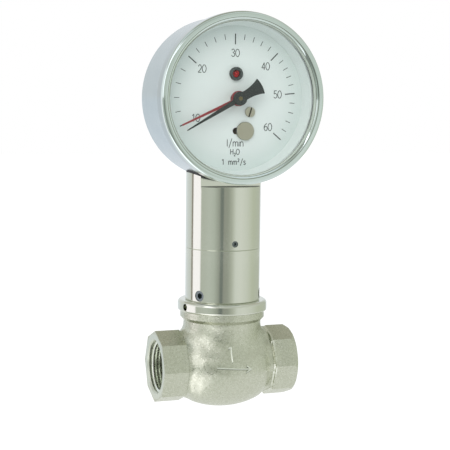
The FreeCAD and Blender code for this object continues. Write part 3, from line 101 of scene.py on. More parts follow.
# %% Wires and nodes
class Wire:
    """A socket on which Python's operators work. Each operator adds a Math node."""

    def __init__(self, web, socket):
        self.web = web
        self.socket = socket

    def math(self, operation, *values):
        return self.web.node("ShaderNodeMath", {"operation": operation}, dict(enumerate(values)))

    def __add__(self, other):
        return self.math("ADD", self, other)

    def __radd__(self, other):
        return self.math("ADD", other, self)

    def __sub__(self, other):
        return self.math("SUBTRACT", self, other)

    def __rsub__(self, other):
        return self.math("SUBTRACT", other, self)

    def __mul__(self, other):
        return self.math("MULTIPLY", self, other)

    def __rmul__(self, other):
        return self.math("MULTIPLY", other, self)

    def sine(self):
        return self.math("SINE", self)

    def size(self):
        return self.math("ABSOLUTE", self)

    def root(self):
        return self.math("SQRT", self)

    def atan2(self, other):
        return self.math("ARCTAN2", self, other)

    def larger(self, other):
        return self.math("MAXIMUM", self, other)

    def between(self, low, high):
        """0 below low, 1 above high and a smooth step in between."""
        return self.web.node("ShaderNodeMapRange", {"interpolation_type": "SMOOTHSTEP"},
                             {"Value": self, "From Min": low, "From Max": high})


class Web:
    """A tree of nodes, of a material or of the world."""

    def __init__(self, tree):
        self.tree = tree

    def node(self, kind, settings=None, inputs=None, output=0):
        """Adds a node: its settings first, then the values or links of its sockets."""
        node = self.tree.nodes.new(kind)
        for name, value in (settings or {}).items():
            setattr(node, name, value)
        for key, value in (inputs or {}).items():
            self.plug(node.inputs[key], value)
        return Wire(self, node.outputs[output])

    def plug(self, socket, value):
        """Links a wire to a socket, or else sets the socket's own value."""
        if isinstance(value, Wire):
            self.tree.links.new(value.socket, socket)
        else:
            socket.default_value = value

    def show(self, shader, output="Material Output"):
        """Makes a shader the one that is seen."""
        self.plug(self.tree.nodes[output].inputs[0], shader)


print("wires and nodes ready")


# %% Finishes
class Finish(Web):
    """One material: a Principled surface, with its constants on its own sockets, and nodes that vary it."""

    def __init__(self, name, colour, roughness, metallic=0.0, **constants):
        self.material = bpy.data.materials.new(name)
        self.material.use_nodes = True
        super().__init__(self.material.node_tree)
        self.shader = self.tree.nodes["Principled BSDF"]
        self.feed(base_color=(*colour, 1), roughness=roughness, metallic=metallic, **constants)

    def feed(self, **sockets):
        """Sets or links the surface's own sockets, with a name such as base_color for Base Color."""
        for name, value in sockets.items():
            self.plug(self.shader.inputs[name.replace("_", " ").title().replace("Ior", "IOR")], value)
        return self

    def place(self, stretch=(1, 1, 1), centre=(0, 0, 0)):
        """The model's own coordinates in millimetres, moved to a centre and stretched along each axis."""
        coordinates = self.node("ShaderNodeTexCoord", output="Object")
        moved = self.node("ShaderNodeVectorMath", {"operation": "SUBTRACT"}, {0: coordinates, 1: centre})
        return self.node("ShaderNodeVectorMath", {"operation": "MULTIPLY"},
                         {0: moved, 1: tuple(s / MM for s in stretch)})

    def axes(self, centre=(0, 0, 0)):
        """The three coordinates one by one, in millimetres from a centre."""
        place = self.place(centre=centre)
        return [self.node("ShaderNodeSeparateXYZ", inputs={0: place}, output=axis) for axis in range(3)]

    def off_gauge_axis(self):
        """The distance from the axis of the gauge, in millimetres."""
        across, _, level = self.axes((COLUMN_ACROSS, 0, GAUGE_HEIGHT))
        return (across * across + level * level).root()

    def grain(self, size, detail=2.0, stretch=(1, 1, 1), roughness=0.5):
        """Noise whose lumps are about size millimetres across, from 0 to 1."""
        return self.node("ShaderNodeTexNoise", inputs={
            "Vector": self.place(stretch), "Scale": 1 / size, "Detail": detail, "Roughness": roughness})

    def blend(self, mask, first, second):
        """The first colour where the mask is 0, the second where it is 1."""
        ends = [end if isinstance(end, Wire) else (*end, 1) for end in (first, second)]
        return self.node("ShaderNodeMix", {"data_type": "RGBA"}, {0: mask, 6: ends[0], 7: ends[1]}, output=2)

    def bump(self, height, depth):
        """Feeds a relief into the surface: a height from 0 to 1 stands for that depth in millimetres."""
        return self.feed(normal=self.node("ShaderNodeBump", inputs={
            "Height": height, "Distance": depth * MM, "Strength": 1.0}))

    def mottle(self, size, detail, dark, light):
        """Lets the colour wander between two tones, in patches about size millimetres across."""
        return self.feed(base_color=self.blend(self.grain(size, detail), tone(*dark), tone(*light)))

    def wear(self, least, span, size):
        """Lets the roughness wander upwards from its least value, in patches size millimetres across."""
        return self.feed(roughness=least + span * self.grain(size))

    def grit(self, size, detail, depth):
        """Gives the surface a relief of lumps about size millimetres across."""
        return self.bump(self.grain(size, detail), depth)


print("finish maker ready")

# %% [markdown]
# ## Stage
# A plain white studio. The floor and the world show themselves as plain white to the camera and to
# anything that mirrors them, while the light that they give to the part stays at an ordinary level.

# %% Floor and world
FLOOR_LEVEL = -0.12
FLOOR_REACH = 6
FILL_STRENGTH = 1.2
PAPER_GLOW = 1.12
PAPER_GLOW_SHARE = 0.8


def seen_or_mirrored(web):
    """1 for rays that come from the camera, a mirror or glass, and 0 for light that falls on the part."""
    from_camera, from_mirror, from_glass = [web.node("ShaderNodeLightPath", output=f"Is {kind} Ray")
                                            for kind in ("Camera", "Glossy", "Transmission")]
    return from_camera.larger(from_mirror).larger(from_glass)


def stage_piece(bm, name, material, only_mirrored=False):
    """Puts a finished bmesh on the stage, for everything to see or for reflections only."""
    mesh = bpy.data.meshes.new(name)
    bm.to_mesh(mesh)
    bm.free()
    mesh.materials.append(material)
    item = bpy.data.objects.new(name, mesh)
    bpy.context.collection.objects.link(item)
    if only_mirrored:
        item.visible_camera = item.visible_diffuse = item.visible_shadow = item.visible_transmission = False


world = bpy.data.worlds.new("studio")
bpy.context.scene.world = world
world.use_nodes = True
sky = Web(world.node_tree)
shown = sky.tree.nodes["Background"]
shown.inputs["Color"].default_value = (1, 1, 1, 1)
fill = sky.node("ShaderNodeBackground", inputs={"Color": (0.93, 0.97, 1.0, 1), "Strength": FILL_STRENGTH})
both = sky.node("ShaderNodeMixShader",
                inputs={0: seen_or_mirrored(sky), 1: fill, 2: Wire(sky, shown.outputs[0])})
sky.show(both, "World Output")

paper = Finish("floor_paper", (0.85, 0.85, 0.85), 0.9)
paper_glow = paper.node("ShaderNodeEmission", inputs={"Strength": PAPER_GLOW})
paper_seen = seen_or_mirrored(paper) * PAPER_GLOW_SHARE
paper.show(paper.node("ShaderNodeMixShader", inputs={
    0: paper_seen, 1: Wire(paper, paper.shader.outputs[0]), 2: paper_glow}))
bm = bmesh.new()
bmesh.ops.create_grid(bm, x_segments=1, y_segments=1, size=FLOOR_REACH,
                      matrix=Matrix.Translation((0, 0, FLOOR_LEVEL)))
stage_piece(bm, "floor", paper.material)
print("white floor and world")

# %% [markdown]
# ## Cards to mirror
# Chrome and turned steel only look like metal when there is something to mirror. So bands of glowing
# cards stand round the part, one above the other like the walls of a tent, and two discs lie under it.
# Only reflections see them. Each table says in what tone turned steel shows its card, by the angle round
# the part in degrees, counted to the right from the camera. A tone over 255 is brighter than white.

# %% Cards
TOWARDS_CAMERA = math.degrees(math.atan2(back.y, back.x))
STEEL = tone(207, 210, 198)
WALL = [(-180, (200, 206, 198)), (-150, (196, 204, 198)), (-114, (190, 195, 184)), (-113, (134, 130, 115)),
        (-105, (134, 130, 115)), (-104, (245, 243, 238)), (-72, (245, 243, 238)), (-71, (168, 174, 158)),
        (-40, (174, 181, 166)), (-24, (166, 174, 158)), (-9, (140, 146, 131)), (-4, (108, 116, 106)),
        (3, (108, 116, 106)), (4, (136, 140, 126)), (18, (142, 148, 132)), (30, (166, 172, 154)),
        (42, (195, 201, 186)), (58, (199, 204, 189)), (80, (190, 196, 179)), (105, (174, 181, 158)),
        (130, (170, 177, 157)), (146, (164, 170, 152)), (160, (200, 206, 198)), (180, (200, 206, 198))]
RISE = [(-180, (200, 206, 198)), (-114, (190, 195, 184)), (-104, (232, 232, 224)), (-76, (226, 228, 218)),
        (-52, (196, 200, 188)), (-42, (276, 278, 268)), (-24, (276, 278, 268)), (-12, (172, 178, 162)),
        (40, (184, 190, 174)), (80, (190, 196, 179)), (146, (166, 172, 154)), (180, (200, 206, 198))]
STRIP = [(-180, (160, 161, 142)), (-140, (165, 167, 150)), (-62, (196, 200, 190)), (-44, (214, 217, 206)),
         (-36, (300, 300, 292)), (0, (300, 300, 292)), (12, (196, 200, 188)), (32, (168, 174, 158)),
         (42, (176, 181, 163)), (60, (184, 189, 172)), (100, (180, 185, 168)), (150, (164, 166, 147)),
         (180, (160, 161, 142))]
SLOPE = [(-180, (160, 161, 142)), (-140, (165, 167, 150)), (-58, (190, 194, 182)), (-50, (284, 285, 276)),
         (-36, (284, 285, 276)), (-27, (166, 170, 155)), (0, (152, 157, 141)), (32, (168, 174, 158)),
         (42, (176, 181, 163)), (60, (184, 189, 172)), (100, (180, 185, 168)), (150, (164, 166, 147)),
         (180, (160, 161, 142))]
HIGH = [(-180, (160, 161, 142)), (-100, (184, 190, 182)), (-20, (190, 196, 186)), (60, (204, 211, 202)),
        (100, (190, 196, 182)), (150, (162, 164, 146)), (180, (160, 161, 142))]
CEILING = [(-180, (150, 152, 133)), (180, (150, 152, 133))]
TABLE = [(-180, (204, 208, 196)), (-66, (204, 208, 196)), (-50, (270, 272, 262)), (-2, (270, 272, 262)),
         (10, (190, 196, 182)), (30, (196, 201, 187)), (60, (204, 208, 196)), (180, (204, 208, 196))]


def glowing(name, colours):
    """A material that gives off light, in colours that a table gives by the angle round the part."""
    light = bpy.data.materials.new(name)
    light.use_nodes = True
    card = Web(light.node_tree)
    card.tree.nodes.remove(card.tree.nodes["Principled BSDF"])
    spot = card.node("ShaderNodeNewGeometry", output="Position")
    faced = card.node("ShaderNodeVectorRotate",
                      inputs={"Vector": spot, "Angle": math.radians(-TOWARDS_CAMERA)})
    ahead, aside = [card.node("ShaderNodeSeparateXYZ", inputs={0: faced}, output=axis) for axis in range(2)]
    turn = card.node("ShaderNodeMapRange", inputs={
        "Value": aside.atan2(ahead), "From Min": -math.pi, "From Max": math.pi})
    ramp = card.node("ShaderNodeValToRGB", inputs={0: turn})
    stops = ramp.socket.node.color_ramp.elements
    stops.remove(stops[1])
    for index, (angle, seen) in enumerate(colours):
        position = (angle + 180) / 360
        stop = stops[0] if index == 0 else stops.new(position)
        stop.position = position
        stop.color = (*(c / s for c, s in zip(tone(*seen), STEEL)), 1)
    card.show(card.node("ShaderNodeEmission", inputs={"Color": ramp}))
    return light


TENT_RADIUS = 1.6
TENT_LEVEL = 0.1


def tent(name, low, high, colours):
    """A band of a dome round the part, between two heights above the horizon in degrees."""
    bm = bmesh.new()
    heights = [math.radians(low + (high - low) * i / 10) for i in range(11)]
    edge = [bm.verts.new((TENT_RADIUS * math.cos(h), 0, TENT_RADIUS * math.sin(h))) for h in heights]
    bmesh.ops.spin(bm, geom=edge + [bm.edges.new(pair) for pair in zip(edge, edge[1:])], cent=(0, 0, 0),
                   axis=(0, 0, 1), angle=2 * math.pi, steps=90, use_merge=True, use_duplicate=False)
    bmesh.ops.translate(bm, verts=bm.verts, vec=(COLUMN_ACROSS, 0, TENT_LEVEL))
    stage_piece(bm, name, glowing(name, colours), only_mirrored=True)


tent("wall_cards", -9, 3, WALL)
tent("rise_cards", 3, 27, RISE)
tent("strip_cards", 27, 33, STRIP)
tent("slope_cards", 33, 50, SLOPE)
tent("high_cards", 50, 66, HIGH)
tent("ceiling", 66, 90, CEILING)
for name, radius, rise, colours in (("far_table", 1.55, 0.001, WALL), ("near_table", 0.5, 0.002, TABLE)):
    bm = bmesh.new()
    bmesh.ops.create_circle(bm, cap_ends=True, radius=radius, segments=64,
                            matrix=Matrix.Translation((COLUMN_ACROSS, 0, FLOOR_LEVEL + rise)))
    stage_piece(bm, name, glowing(name, colours), only_mirrored=True)
print("cards set, camera at", round(TOWARDS_CAMERA, 1), "degrees")

# %% [markdown]
# ## Main light
# One large round lamp in front, up on the left, shades the part. Its own shape would show as a hard spot
# on every polished face, so mirrors don't see it.

# %% Main light
KEY_AIM = Vector((COLUMN_ACROSS, 0, 0.12))
KEY_DISTANCE = 1.1
key = bpy.data.lights.new("key", "AREA")
key.shape = "DISK"
key.size = 0.9
key.energy = 6.0
key.color = (1.0, 0.99, 0.97)
key_object = bpy.data.objects.new("key", key)
bpy.context.collection.objects.link(key_object)
towards_key = Vector((-0.36, -0.8, 0.59)).normalized()
key_object.matrix_world = (Matrix.Translation(KEY_AIM + towards_key * KEY_DISTANCE)
                           @ towards_key.to_track_quat("Z", "Y").to_matrix().to_4x4())
key_object.visible_glossy = False
print("main light", key.energy, "W,", KEY_DISTANCE, "m away")

# %% [markdown]
# ## Metal finishes
# The casting is blasted, so it scatters light from a skin of tiny pits, with broader waves left by the
# sand mould. The column and the bonnet are turned, so their relief is a set of fine rings about the axis
# they spun on. Each finish gets its relief at the scale of the real one. Masks do the rest: a painted
# highlight lies on the edge behind the outlet's octagon, the slot across the screw's head is painted
# dark as shade, and the rolled bezel has fine dark lines painted as shade and reflection, and a dull mouth.

# %% Cast and turned metal
OUTLET_EDGE = 75.6
cast = Finish("blasted_casting", tone(194, 197, 180), 0.34, 1.0)
pits = cast.grain(1.15, 3.0, roughness=0.62)
waves = cast.grain(5.0, 2.0)
skin_tone = cast.blend(pits.between(0.3, 0.7), tone(186, 189, 171), tone(202, 205, 189))
cast_x, _, cast_z = cast.axes()
lowest = (1 - cast_z.between(0.5, 2.0)) * cast_z.between(-8.5, -4.5)
# A painted highlight: the edge behind the outlet's octagon is painted near white, in patches, most in a band
# near the pipe's axis.
painted_edge_highlight = ((1 - (cast_x - OUTLET_EDGE).size().between(0.6, 1.2))
               * cast.grain(2.2, 1.0).between(0.3, 0.55) * (0.3 + 0.6 * lowest))
cast.feed(base_color=cast.blend(painted_edge_highlight, skin_tone, tone(248, 250, 240)),
          roughness=0.37 - 0.14 * cast.grain(1.7, 1.0).between(0.45, 0.7))
cast.bump(0.62 * pits + 1.5 * waves, 0.2)


def turned_finish(name, colour, roughness, centre, axis, pitch, depth=0.0006):
    """Turned metal: fine rings about an axis, with the pitch that the tool left."""
    finish = Finish(name, colour, roughness, 1.0)
    along = finish.axes(centre)["XYZ".index(axis)]
    wander = finish.grain(6, 1.0)
    rings = (along * (2 * math.pi / pitch) + 2.5 * wander).sine() * 0.5 + 0.5
    finish.feed(roughness=roughness - 0.03 + 0.06 * finish.grain(3.0, 2.0, (0.15, 0.15, 2.5)))
    return finish.bump(rings, depth)


turned = turned_finish("turned_steel", tone(207, 210, 198), 0.1, (COLUMN_ACROSS, 0, 0), "Z", 0.35)
print("cast and turned metal", len(bpy.data.materials))

# %% Nickel, brass and steel
SCREW_CENTRE = (COLUMN_ACROSS + 0.00962, 0, GAUGE_HEIGHT - 0.00836)
SLOT_TURN = math.radians(73)
NICKEL = tone(187, 184, 165)
NICKEL_ENDS = tone(178, 174, 154), tone(198, 195, 178)
screw = Finish("black_screw_steel", tone(108, 116, 116), 0.14, 1.0).wear(0.1, 0.1, 0.4).grit(0.5, 2.0, 0.03)
nickel = Finish("matt_nickel", NICKEL, 0.36, 1.0)
brushed = nickel.grain(0.12, 3.0, (1, 1, 0.06))
nickel.feed(base_color=nickel.blend(brushed, *NICKEL_ENDS), roughness=0.3 + 0.16 * brushed)
nickel.bump(brushed, 0.01)
slotted = Finish("slotted_head", NICKEL, 0.36, 1.0).wear(0.32, 0.12, 0.3).grit(0.12, 3.0, 0.01)
slot_x, _, slot_z = slotted.axes(SCREW_CENTRE)
off_slot = (slot_x * math.sin(SLOT_TURN) - slot_z * math.cos(SLOT_TURN)).size()
head = slotted.blend(slotted.grain(0.5), *NICKEL_ENDS)
# The slot is painted dark: painted shade in the recess of the slot.
slotted.feed(base_color=slotted.blend(1 - off_slot.between(0.42, 0.5), head, tone(70, 68, 56)))
brass = Finish("brass", tone(205, 175, 110), 0.3, 1.0).mottle(1.2, 3.0, (190, 158, 96), (216, 188, 124))
brass.wear(0.24, 0.16, 0.5).grit(0.25, 2.0, 0.008)
magnet = Finish("sintered_magnet", tone(72, 70, 68), 0.5, 0.7).mottle(0.5, 3.0, (60, 58, 57), (86, 84, 82))
magnet.wear(0.42, 0.2, 0.3).grit(0.2, 3.0, 0.02)
case = Finish("satin_case", tone(182, 193, 195), 0.2, 1.0).mottle(9.0, 2.0, (176, 187, 190), (189, 199, 200))
case_lines = case.grain(0.3, 2.0, (0.2, 1, 0.2))
case.feed(roughness=0.17 + 0.08 * case_lines)
case.bump(case_lines, 0.003)
print("plain metal finishes", len(bpy.data.materials))

# %% Polished bezel
PLATE = tone(203, 215, 211)
DARK_LINE_RADII = (49.72, 48.3, 47.64)
chrome = Finish("polished_bezel", PLATE, 0.13, 1.0)
skirt = chrome.axes()[1].between(-36.2, -34.6)
rim_radius = chrome.off_gauge_axis()
mouth = 1 - rim_radius.between(48.2, 48.3)
# Fine dark lines painted at these radii: painted shade and dark reflections on the bezel.
painted_dark_lines = sum(1 - (rim_radius - radius).size().between(0.08, 0.2) for radius in DARK_LINE_RADII)
plated = chrome.blend(mouth, chrome.blend(skirt, PLATE, tone(172, 181, 181)), tone(174, 184, 174))
chrome.feed(base_color=chrome.blend(painted_dark_lines, plated, tone(112, 116, 104)), metallic=1 - mouth,
            roughness=0.06 + 0.05 * chrome.grain(2.5, 3.0) + 0.4 * mouth)
chrome.grit(0.4, 2.0, 0.0006)
print("metal finishes", len(bpy.data.materials))

# %% [markdown]
# ## Paint, rubber, plastic and glass
# The dial is printed sheet: nearly white with a cool tinge and a faint mottle, and with painted shade
# towards its rim. The pane must let the light in, so it is not a solid block of glass with all its bending
# rays but a mix of clear and mirror, shared out by Fresnel's law. Only the faces seen from outside mirror.
# From inside the glass the law turns a slanting face into a full mirror, which would hide the dial.

# %% Paint, rubber and plastic
dial_paint = Finish("dial_paint", tone(205, 212, 209), 0.5).wear(0.45, 0.1, 1.0).grit(0.25, 2.0, 0.003)
# Painted shade: the dial's paint is a little darker towards its rim.
painted_rim_shade = dial_paint.off_gauge_axis().between(30, 47)
mottled = dial_paint.blend(dial_paint.grain(3.0, 3.0), tone(203, 210, 207), tone(208, 214, 211))
dial_paint.feed(base_color=dial_paint.blend(painted_rim_shade, mottled, tone(198, 208, 204)))
print_ink = Finish("print_ink", tone(38, 42, 40), 0.5).mottle(0.5, 3.0, (34, 38, 36), (46, 50, 48))
black_paint = Finish("black_hand_paint", tone(34, 40, 38), 0.5, specular_ior_level=0.3)
black_paint.mottle(1.5, 3.0, (30, 36, 34), (42, 48, 46)).wear(0.44, 0.16, 0.4).grit(0.2, 2.0, 0.006)
red_paint = Finish("red_hand_paint", tone(138, 36, 42), 0.36).mottle(1.5, 3.0, (128, 30, 36), (148, 44, 48))
red_paint.wear(0.3, 0.16, 0.4)
ring_paint = Finish("spacer_paint", tone(211, 218, 215), 0.55)
ring_paint.mottle(4.0, 2.0, (208, 216, 213), (214, 220, 217)).grit(0.3, 2.0, 0.003)
rubber = Finish("black_rubber", tone(38, 40, 40), 0.6).mottle(1.2, 3.0, (32, 34, 34), (52, 54, 54))
rubber.wear(0.52, 0.2, 0.5).grit(0.2, 3.0, 0.02)
plastic = Finish("black_plastic", tone(52, 58, 58), 0.38).mottle(1.0, 2.0, (46, 52, 52), (60, 66, 66))
plastic.wear(0.32, 0.14, 0.3).grit(0.15, 2.0, 0.01)
lamp_grey = Finish("lamp_ring_grey", tone(62, 68, 66), 0.62, specular_ior_level=0.2)
lamp_grey.mottle(0.8, 2.0, (56, 62, 60), (70, 76, 74)).grit(0.2, 2.0, 0.01)
pin = Finish("pin_brass", tone(104, 96, 62), 0.55, 0.6).mottle(0.4, 2.0, (92, 84, 54), (118, 108, 72))
board = Finish("switch_board", tone(52, 96, 62), 0.42).mottle(0.8, 3.0, (44, 86, 54), (64, 110, 74))
board.wear(0.36, 0.16, 0.6).grit(0.3, 2.0, 0.02)
red_lens = Finish("red_lens", tone(170, 8, 14), 0.16, specular_ior_level=0.35).wear(0.1, 0.1, 0.6)
# Painted light and shade: random patches of bright and dark red stand in for lit and shaded facets.
painted_facet_light = red_lens.grain(0.8, 2.0).between(0.4, 0.6)
red_lens.feed(base_color=red_lens.blend(painted_facet_light, tone(70, 0, 4), tone(192, 10, 16)))
print("paint and plastic finishes", len(bpy.data.materials))

# %% Glass, and a finish for every node
glass = Finish("window_glass", tone(246, 250, 248), 0.02)
clear = glass.node("ShaderNodeBsdfTransparent", inputs={"Color": (0.962, 0.968, 0.965, 1)})
mirror = glass.node("ShaderNodeBsdfGlossy", inputs={"Roughness": 0.02})
from_outside = 1 - glass.node("ShaderNodeNewGeometry", output="Backfacing")
share = glass.node("ShaderNodeFresnel", inputs={"IOR": 1.53}) * from_outside * (0.9 + 0.1 * glass.grain(6.0))
glass.show(glass.node("ShaderNodeMixShader", inputs={0: share, 1: clear, 2: mirror}))

FINISHES = {
    "cast_metal": cast, "turned_metal": turned, "screw_steel": screw, "nickel": nickel, "brass": brass,
    "magnet": magnet, "case_steel": case, "bezel_steel": chrome, "clear_glass": glass, "red_lens": red_lens,
    "dial_white": dial_paint, "black_paint": black_paint, "red_paint": red_paint, "black_rubber": rubber,
    "black_plastic": plastic, "board": board,
}
OWN_FINISHES = {"spacer_ring": ring_paint, "pointer_arbor": pin, "lamp_holder": lamp_grey,
                "adjuster_screw": slotted}
for item in nodes.values():
    for slot in item.material_slots:
        slot.material = FINISHES[slot.material.name.split(".")[0]].material
for name, finish in OWN_FINISHES.items():
    nodes[name].material_slots[0].material = finish.material
print("finishes on", len(nodes), "nodes")

# %% [markdown]
# ## Making a piece
# A new piece is shaped in a bmesh, in millimetres on its board. One helper then does what every piece
# needs at the end: it merges doubled points, turns the faces outwards, carries the shape to its place in
# metres, keeps only the true edges sharp and lets the piece ride on its body of the model. Where a finer
# piece takes the place of a node, the helper hides that node.

# %% Piece helpers
def finish_piece(bm, name, body, finish, place, replaces=(), sharp=32):
    """Turns a bmesh in millimetres into a piece that rides on a body."""
    bmesh.ops.remove_doubles(bm, verts=bm.verts, dist=0.001)
    bmesh.ops.recalc_face_normals(bm, faces=bm.faces)
    bm.transform(place)
    mesh = bpy.data.meshes.new(name)
    bm.to_mesh(mesh)
    bm.free()
    mesh.materials.append(finish.material)
    mesh.shade_smooth()
    mesh.set_sharp_from_angle(angle=math.radians(sharp))
    item = bpy.data.objects.new(name, mesh)
    bpy.context.collection.objects.link(item)
    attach(item, body)
    if replaces:
        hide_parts(*replaces)
    print(name, len(mesh.polygons), "faces")


def spun(profile, steps=160, axis=(0, 0, 1)):
    """Spins a closed outline of (radius, level) points a full turn about an axis, Z or X."""
    bm = bmesh.new()
    points = [bm.verts.new((radius, 0, level) if axis[2] else (level, 0, radius))
              for radius, level in profile]
    lines = [bm.edges.new(pair) for pair in zip(points, points[1:] + points[:1])]
    bmesh.ops.spin(bm, geom=points + lines, cent=(0, 0, 0), axis=axis, angle=2 * math.pi, steps=steps,
                   use_merge=True, use_duplicate=False)
    return bm


def as_mesh(item):
    """The finished mesh of an object as a new bmesh, with its modifiers or its curve's thickness in it. The
    object is removed."""
    bpy.context.view_layer.update()
    solid = item.evaluated_get(bpy.context.evaluated_depsgraph_get())
    mesh = bpy.data.meshes.new_from_object(solid)
    bm = bmesh.new()
    bm.from_mesh(mesh)
    bpy.data.objects.remove(item)
    bpy.data.meshes.remove(mesh)
    return bm


def round_pen(name, half_width, roundness, steps):
    """An empty curve whose lines are drawn with a round section and closed ends."""
    curve = bpy.data.curves.new(name, "CURVE")
    curve.dimensions = "3D"
    curve.bevel_depth = half_width
    curve.bevel_resolution = roundness
    curve.resolution_u = steps
    curve.use_fill_caps = True
    return curve


def drawn(curve):
    """The lines of a curve as a bmesh."""
    item = bpy.data.objects.new(curve.name, curve)
    bpy.context.collection.objects.link(item)
    return as_mesh(item)


print("piece helpers ready")

# %% [markdown]
# ## The skin of the casting
# The solid model joins the ports, the belly and the neck with sharp inner corners, because that is what
# its operators give. Molten metal leaves no such corner: the sand mould rounds it off. The casting is
# therefore copied and divided evenly by a remesh that keeps its sharp edges. After that only the rings of
# points round its hollow creases are relaxed, which turns the creases into fillets, while the flats of the
# octagons stay flat. Last, the skin is drawn in behind each octagon, which leaves the shoulder of the
# real one, and is smoothed there.

# %% An even skin
bm = bmesh.new()
bm.from_mesh(nodes["valve_body"].data)
bmesh.ops.remove_doubles(bm, verts=bm.verts, dist=1e-6)
bmesh.ops.scale(bm, verts=bm.verts, vec=(1 / MM, 1 / MM, 1 / MM))
mesh = bpy.data.meshes.new("casting_blank")
bm.to_mesh(mesh)
bm.free()
blank = bpy.data.objects.new("casting_blank", mesh)
bpy.context.collection.objects.link(blank)
remesh = blank.modifiers.new("even_skin", "REMESH")
remesh.mode = "SHARP"
remesh.octree_depth = 7
remesh.scale = 0.99
remesh.sharpness = 1.0
bm = as_mesh(blank)
bmesh.ops.recalc_face_normals(bm, faces=bm.faces)
print("even skin", len(bm.faces), "faces")

# %% Fillets and shoulders
COLLAR = 27.5
CREASES_END = 31
CREASES_OUTSIDE = 18
SHOULDER = 17.0
DENT = 1.5
DENT_END = 25
DENT_OUTSIDE = 18.5
NECK = 21.5


def depth_in_port(v):
    """How far a point lies from the mouth of the nearer port."""
    return min(v.co.x, PORTS_APART - v.co.x)


def off_pipe(v):
    """How far a point lies from the pipe's axis."""
    return math.hypot(v.co.y, v.co.z)


def is_hollow(edge):
    """True for an edge that lies in a crease between two faces that lean towards each other."""
    return len(edge.link_faces) == 2 and edge.calc_face_angle_signed() < -0.3


def relax(points, turns):
    """Moves each point towards the middle of its neighbours, and does so a number of times."""
    for turn in range(turns):
        bmesh.ops.smooth_vert(bm, verts=list(points), factor=0.5, use_axis_x=True, use_axis_y=True,
                              use_axis_z=True)


def round_off(points, rings, turns):
    """Relaxes the points and those within a few rings of them, as far up as the collar."""
    for ring in range(rings):
        points = points | {e.other_vert(v) for v in points for e in v.link_edges}
    relax({v for v in points if v.co.z < COLLAR}, turns)


crease = {v for e in bm.edges if is_hollow(e) for v in e.verts
          if depth_in_port(v) > 3 and off_pipe(v) > CREASES_OUTSIDE and v.co.z < CREASES_END}
round_off({v for v in crease if v.co.z > 8 and abs(v.co.y) > 12}, 17, 260)
round_off({v for v in crease if v.co.z > 10}, 8, 20)
round_off(crease, 6, 24)
round_off(crease, 3, 5)
for v in bm.verts:
    reach, along = off_pipe(v), depth_in_port(v)
    if reach > DENT_OUTSIDE and v.co.z < NECK and SHOULDER - 0.6 < along < DENT_END:
        fade = min(1, (DENT_END - along) / 7)
        dent = DENT * fade * fade * (3 - 2 * fade) * min(1, (NECK - v.co.z) / 4)
        v.co.y *= 1 - dent / reach
        v.co.z *= 1 - dent / reach
relax([v for v in bm.verts if SHOULDER + 0.4 < depth_in_port(v) < DENT_END + 2 and v.co.z < NECK
       and off_pipe(v) > DENT_OUTSIDE], 8)
print("crease points", len(crease))
skin = BVHTree.FromBMesh(bm)
finish_piece(bm, "cast_body", "housing", cast, ON_PIPE, ("valve_body",), sharp=34)

# %% [markdown]
# ## The milled head of the column
# The upper column is turned, then milled flat in front to carry the gauge. The picture shows the shelf
# where the flat ends a little higher than the model has it, so a thin slice of the same cylinder is set
# on it: a disc as wide as the column, of which the plane of the flat leaves the front. A thin strip of
# black rubber in the corner is painted shade: it draws a thin dark line under the flat.

# %% Milled head
COLUMN_RADIUS = 24.37
SHELF = 115.0
SHELF_LIFT = 2.0
FLAT_DEPTH = 13.7
SHADE_STRIP_DEPTH = 0.14
SHADE_STRIP_HEIGHT = 0.36
bm = bmesh.new()
bmesh.ops.create_cone(bm, cap_ends=True, radius1=COLUMN_RADIUS + 0.01, radius2=COLUMN_RADIUS + 0.01,
                      depth=SHELF_LIFT, segments=360,
                      matrix=Matrix.Translation((0, 0, SHELF + SHELF_LIFT / 2)))
cut = bmesh.ops.bisect_plane(bm, geom=bm.verts[:] + bm.edges[:] + bm.faces[:],
                             plane_co=(0, -FLAT_DEPTH + 0.05, 0), plane_no=(0, 1, 0), clear_outer=True)
bmesh.ops.contextual_create(bm, geom=[e for e in cut["geom_cut"] if isinstance(e, bmesh.types.BMEdge)])
finish_piece(bm, "shelf_slice", "housing", turned, ON_COLUMN, sharp=24)

# A thin strip of black rubber in the corner under the flat: painted shade.
bm = bmesh.new()
half_chord = math.sqrt(COLUMN_RADIUS ** 2 - FLAT_DEPTH ** 2) - 0.3
bmesh.ops.create_cube(bm, size=1, matrix=Matrix.Translation((0, -FLAT_DEPTH, SHELF + SHELF_LIFT + 0.25))
                      @ Matrix.Diagonal((2 * half_chord, SHADE_STRIP_DEPTH, SHADE_STRIP_HEIGHT, 1)))
finish_piece(bm, "painted_corner_shade", "housing", rubber, ON_COLUMN)

# %% [markdown]
# ## Relief on the belly
# An arrow and a short bar stand out from the casting and show the way of the flow. In the pattern for the
# mould they are thin raised strips that follow the belly. Here each strip is a curve with a round
# section; once it is a mesh, every point is dropped onto the belly along the line of sight of the front.
# Each strip is painted brighter as a highlight; a narrower dark strip below it is painted shade.

# %% Flow arrow
STEPS_PER_LINE = 16
STRIP_HALF_WIDTH, FOOT_HALF_WIDTH = 0.55, 0.35
STRIP_RISE, FOOT_RISE = 1.2, 0.4
FOOT_DROP = 0.62
MIDDLE = COLUMN_ACROSS / MM


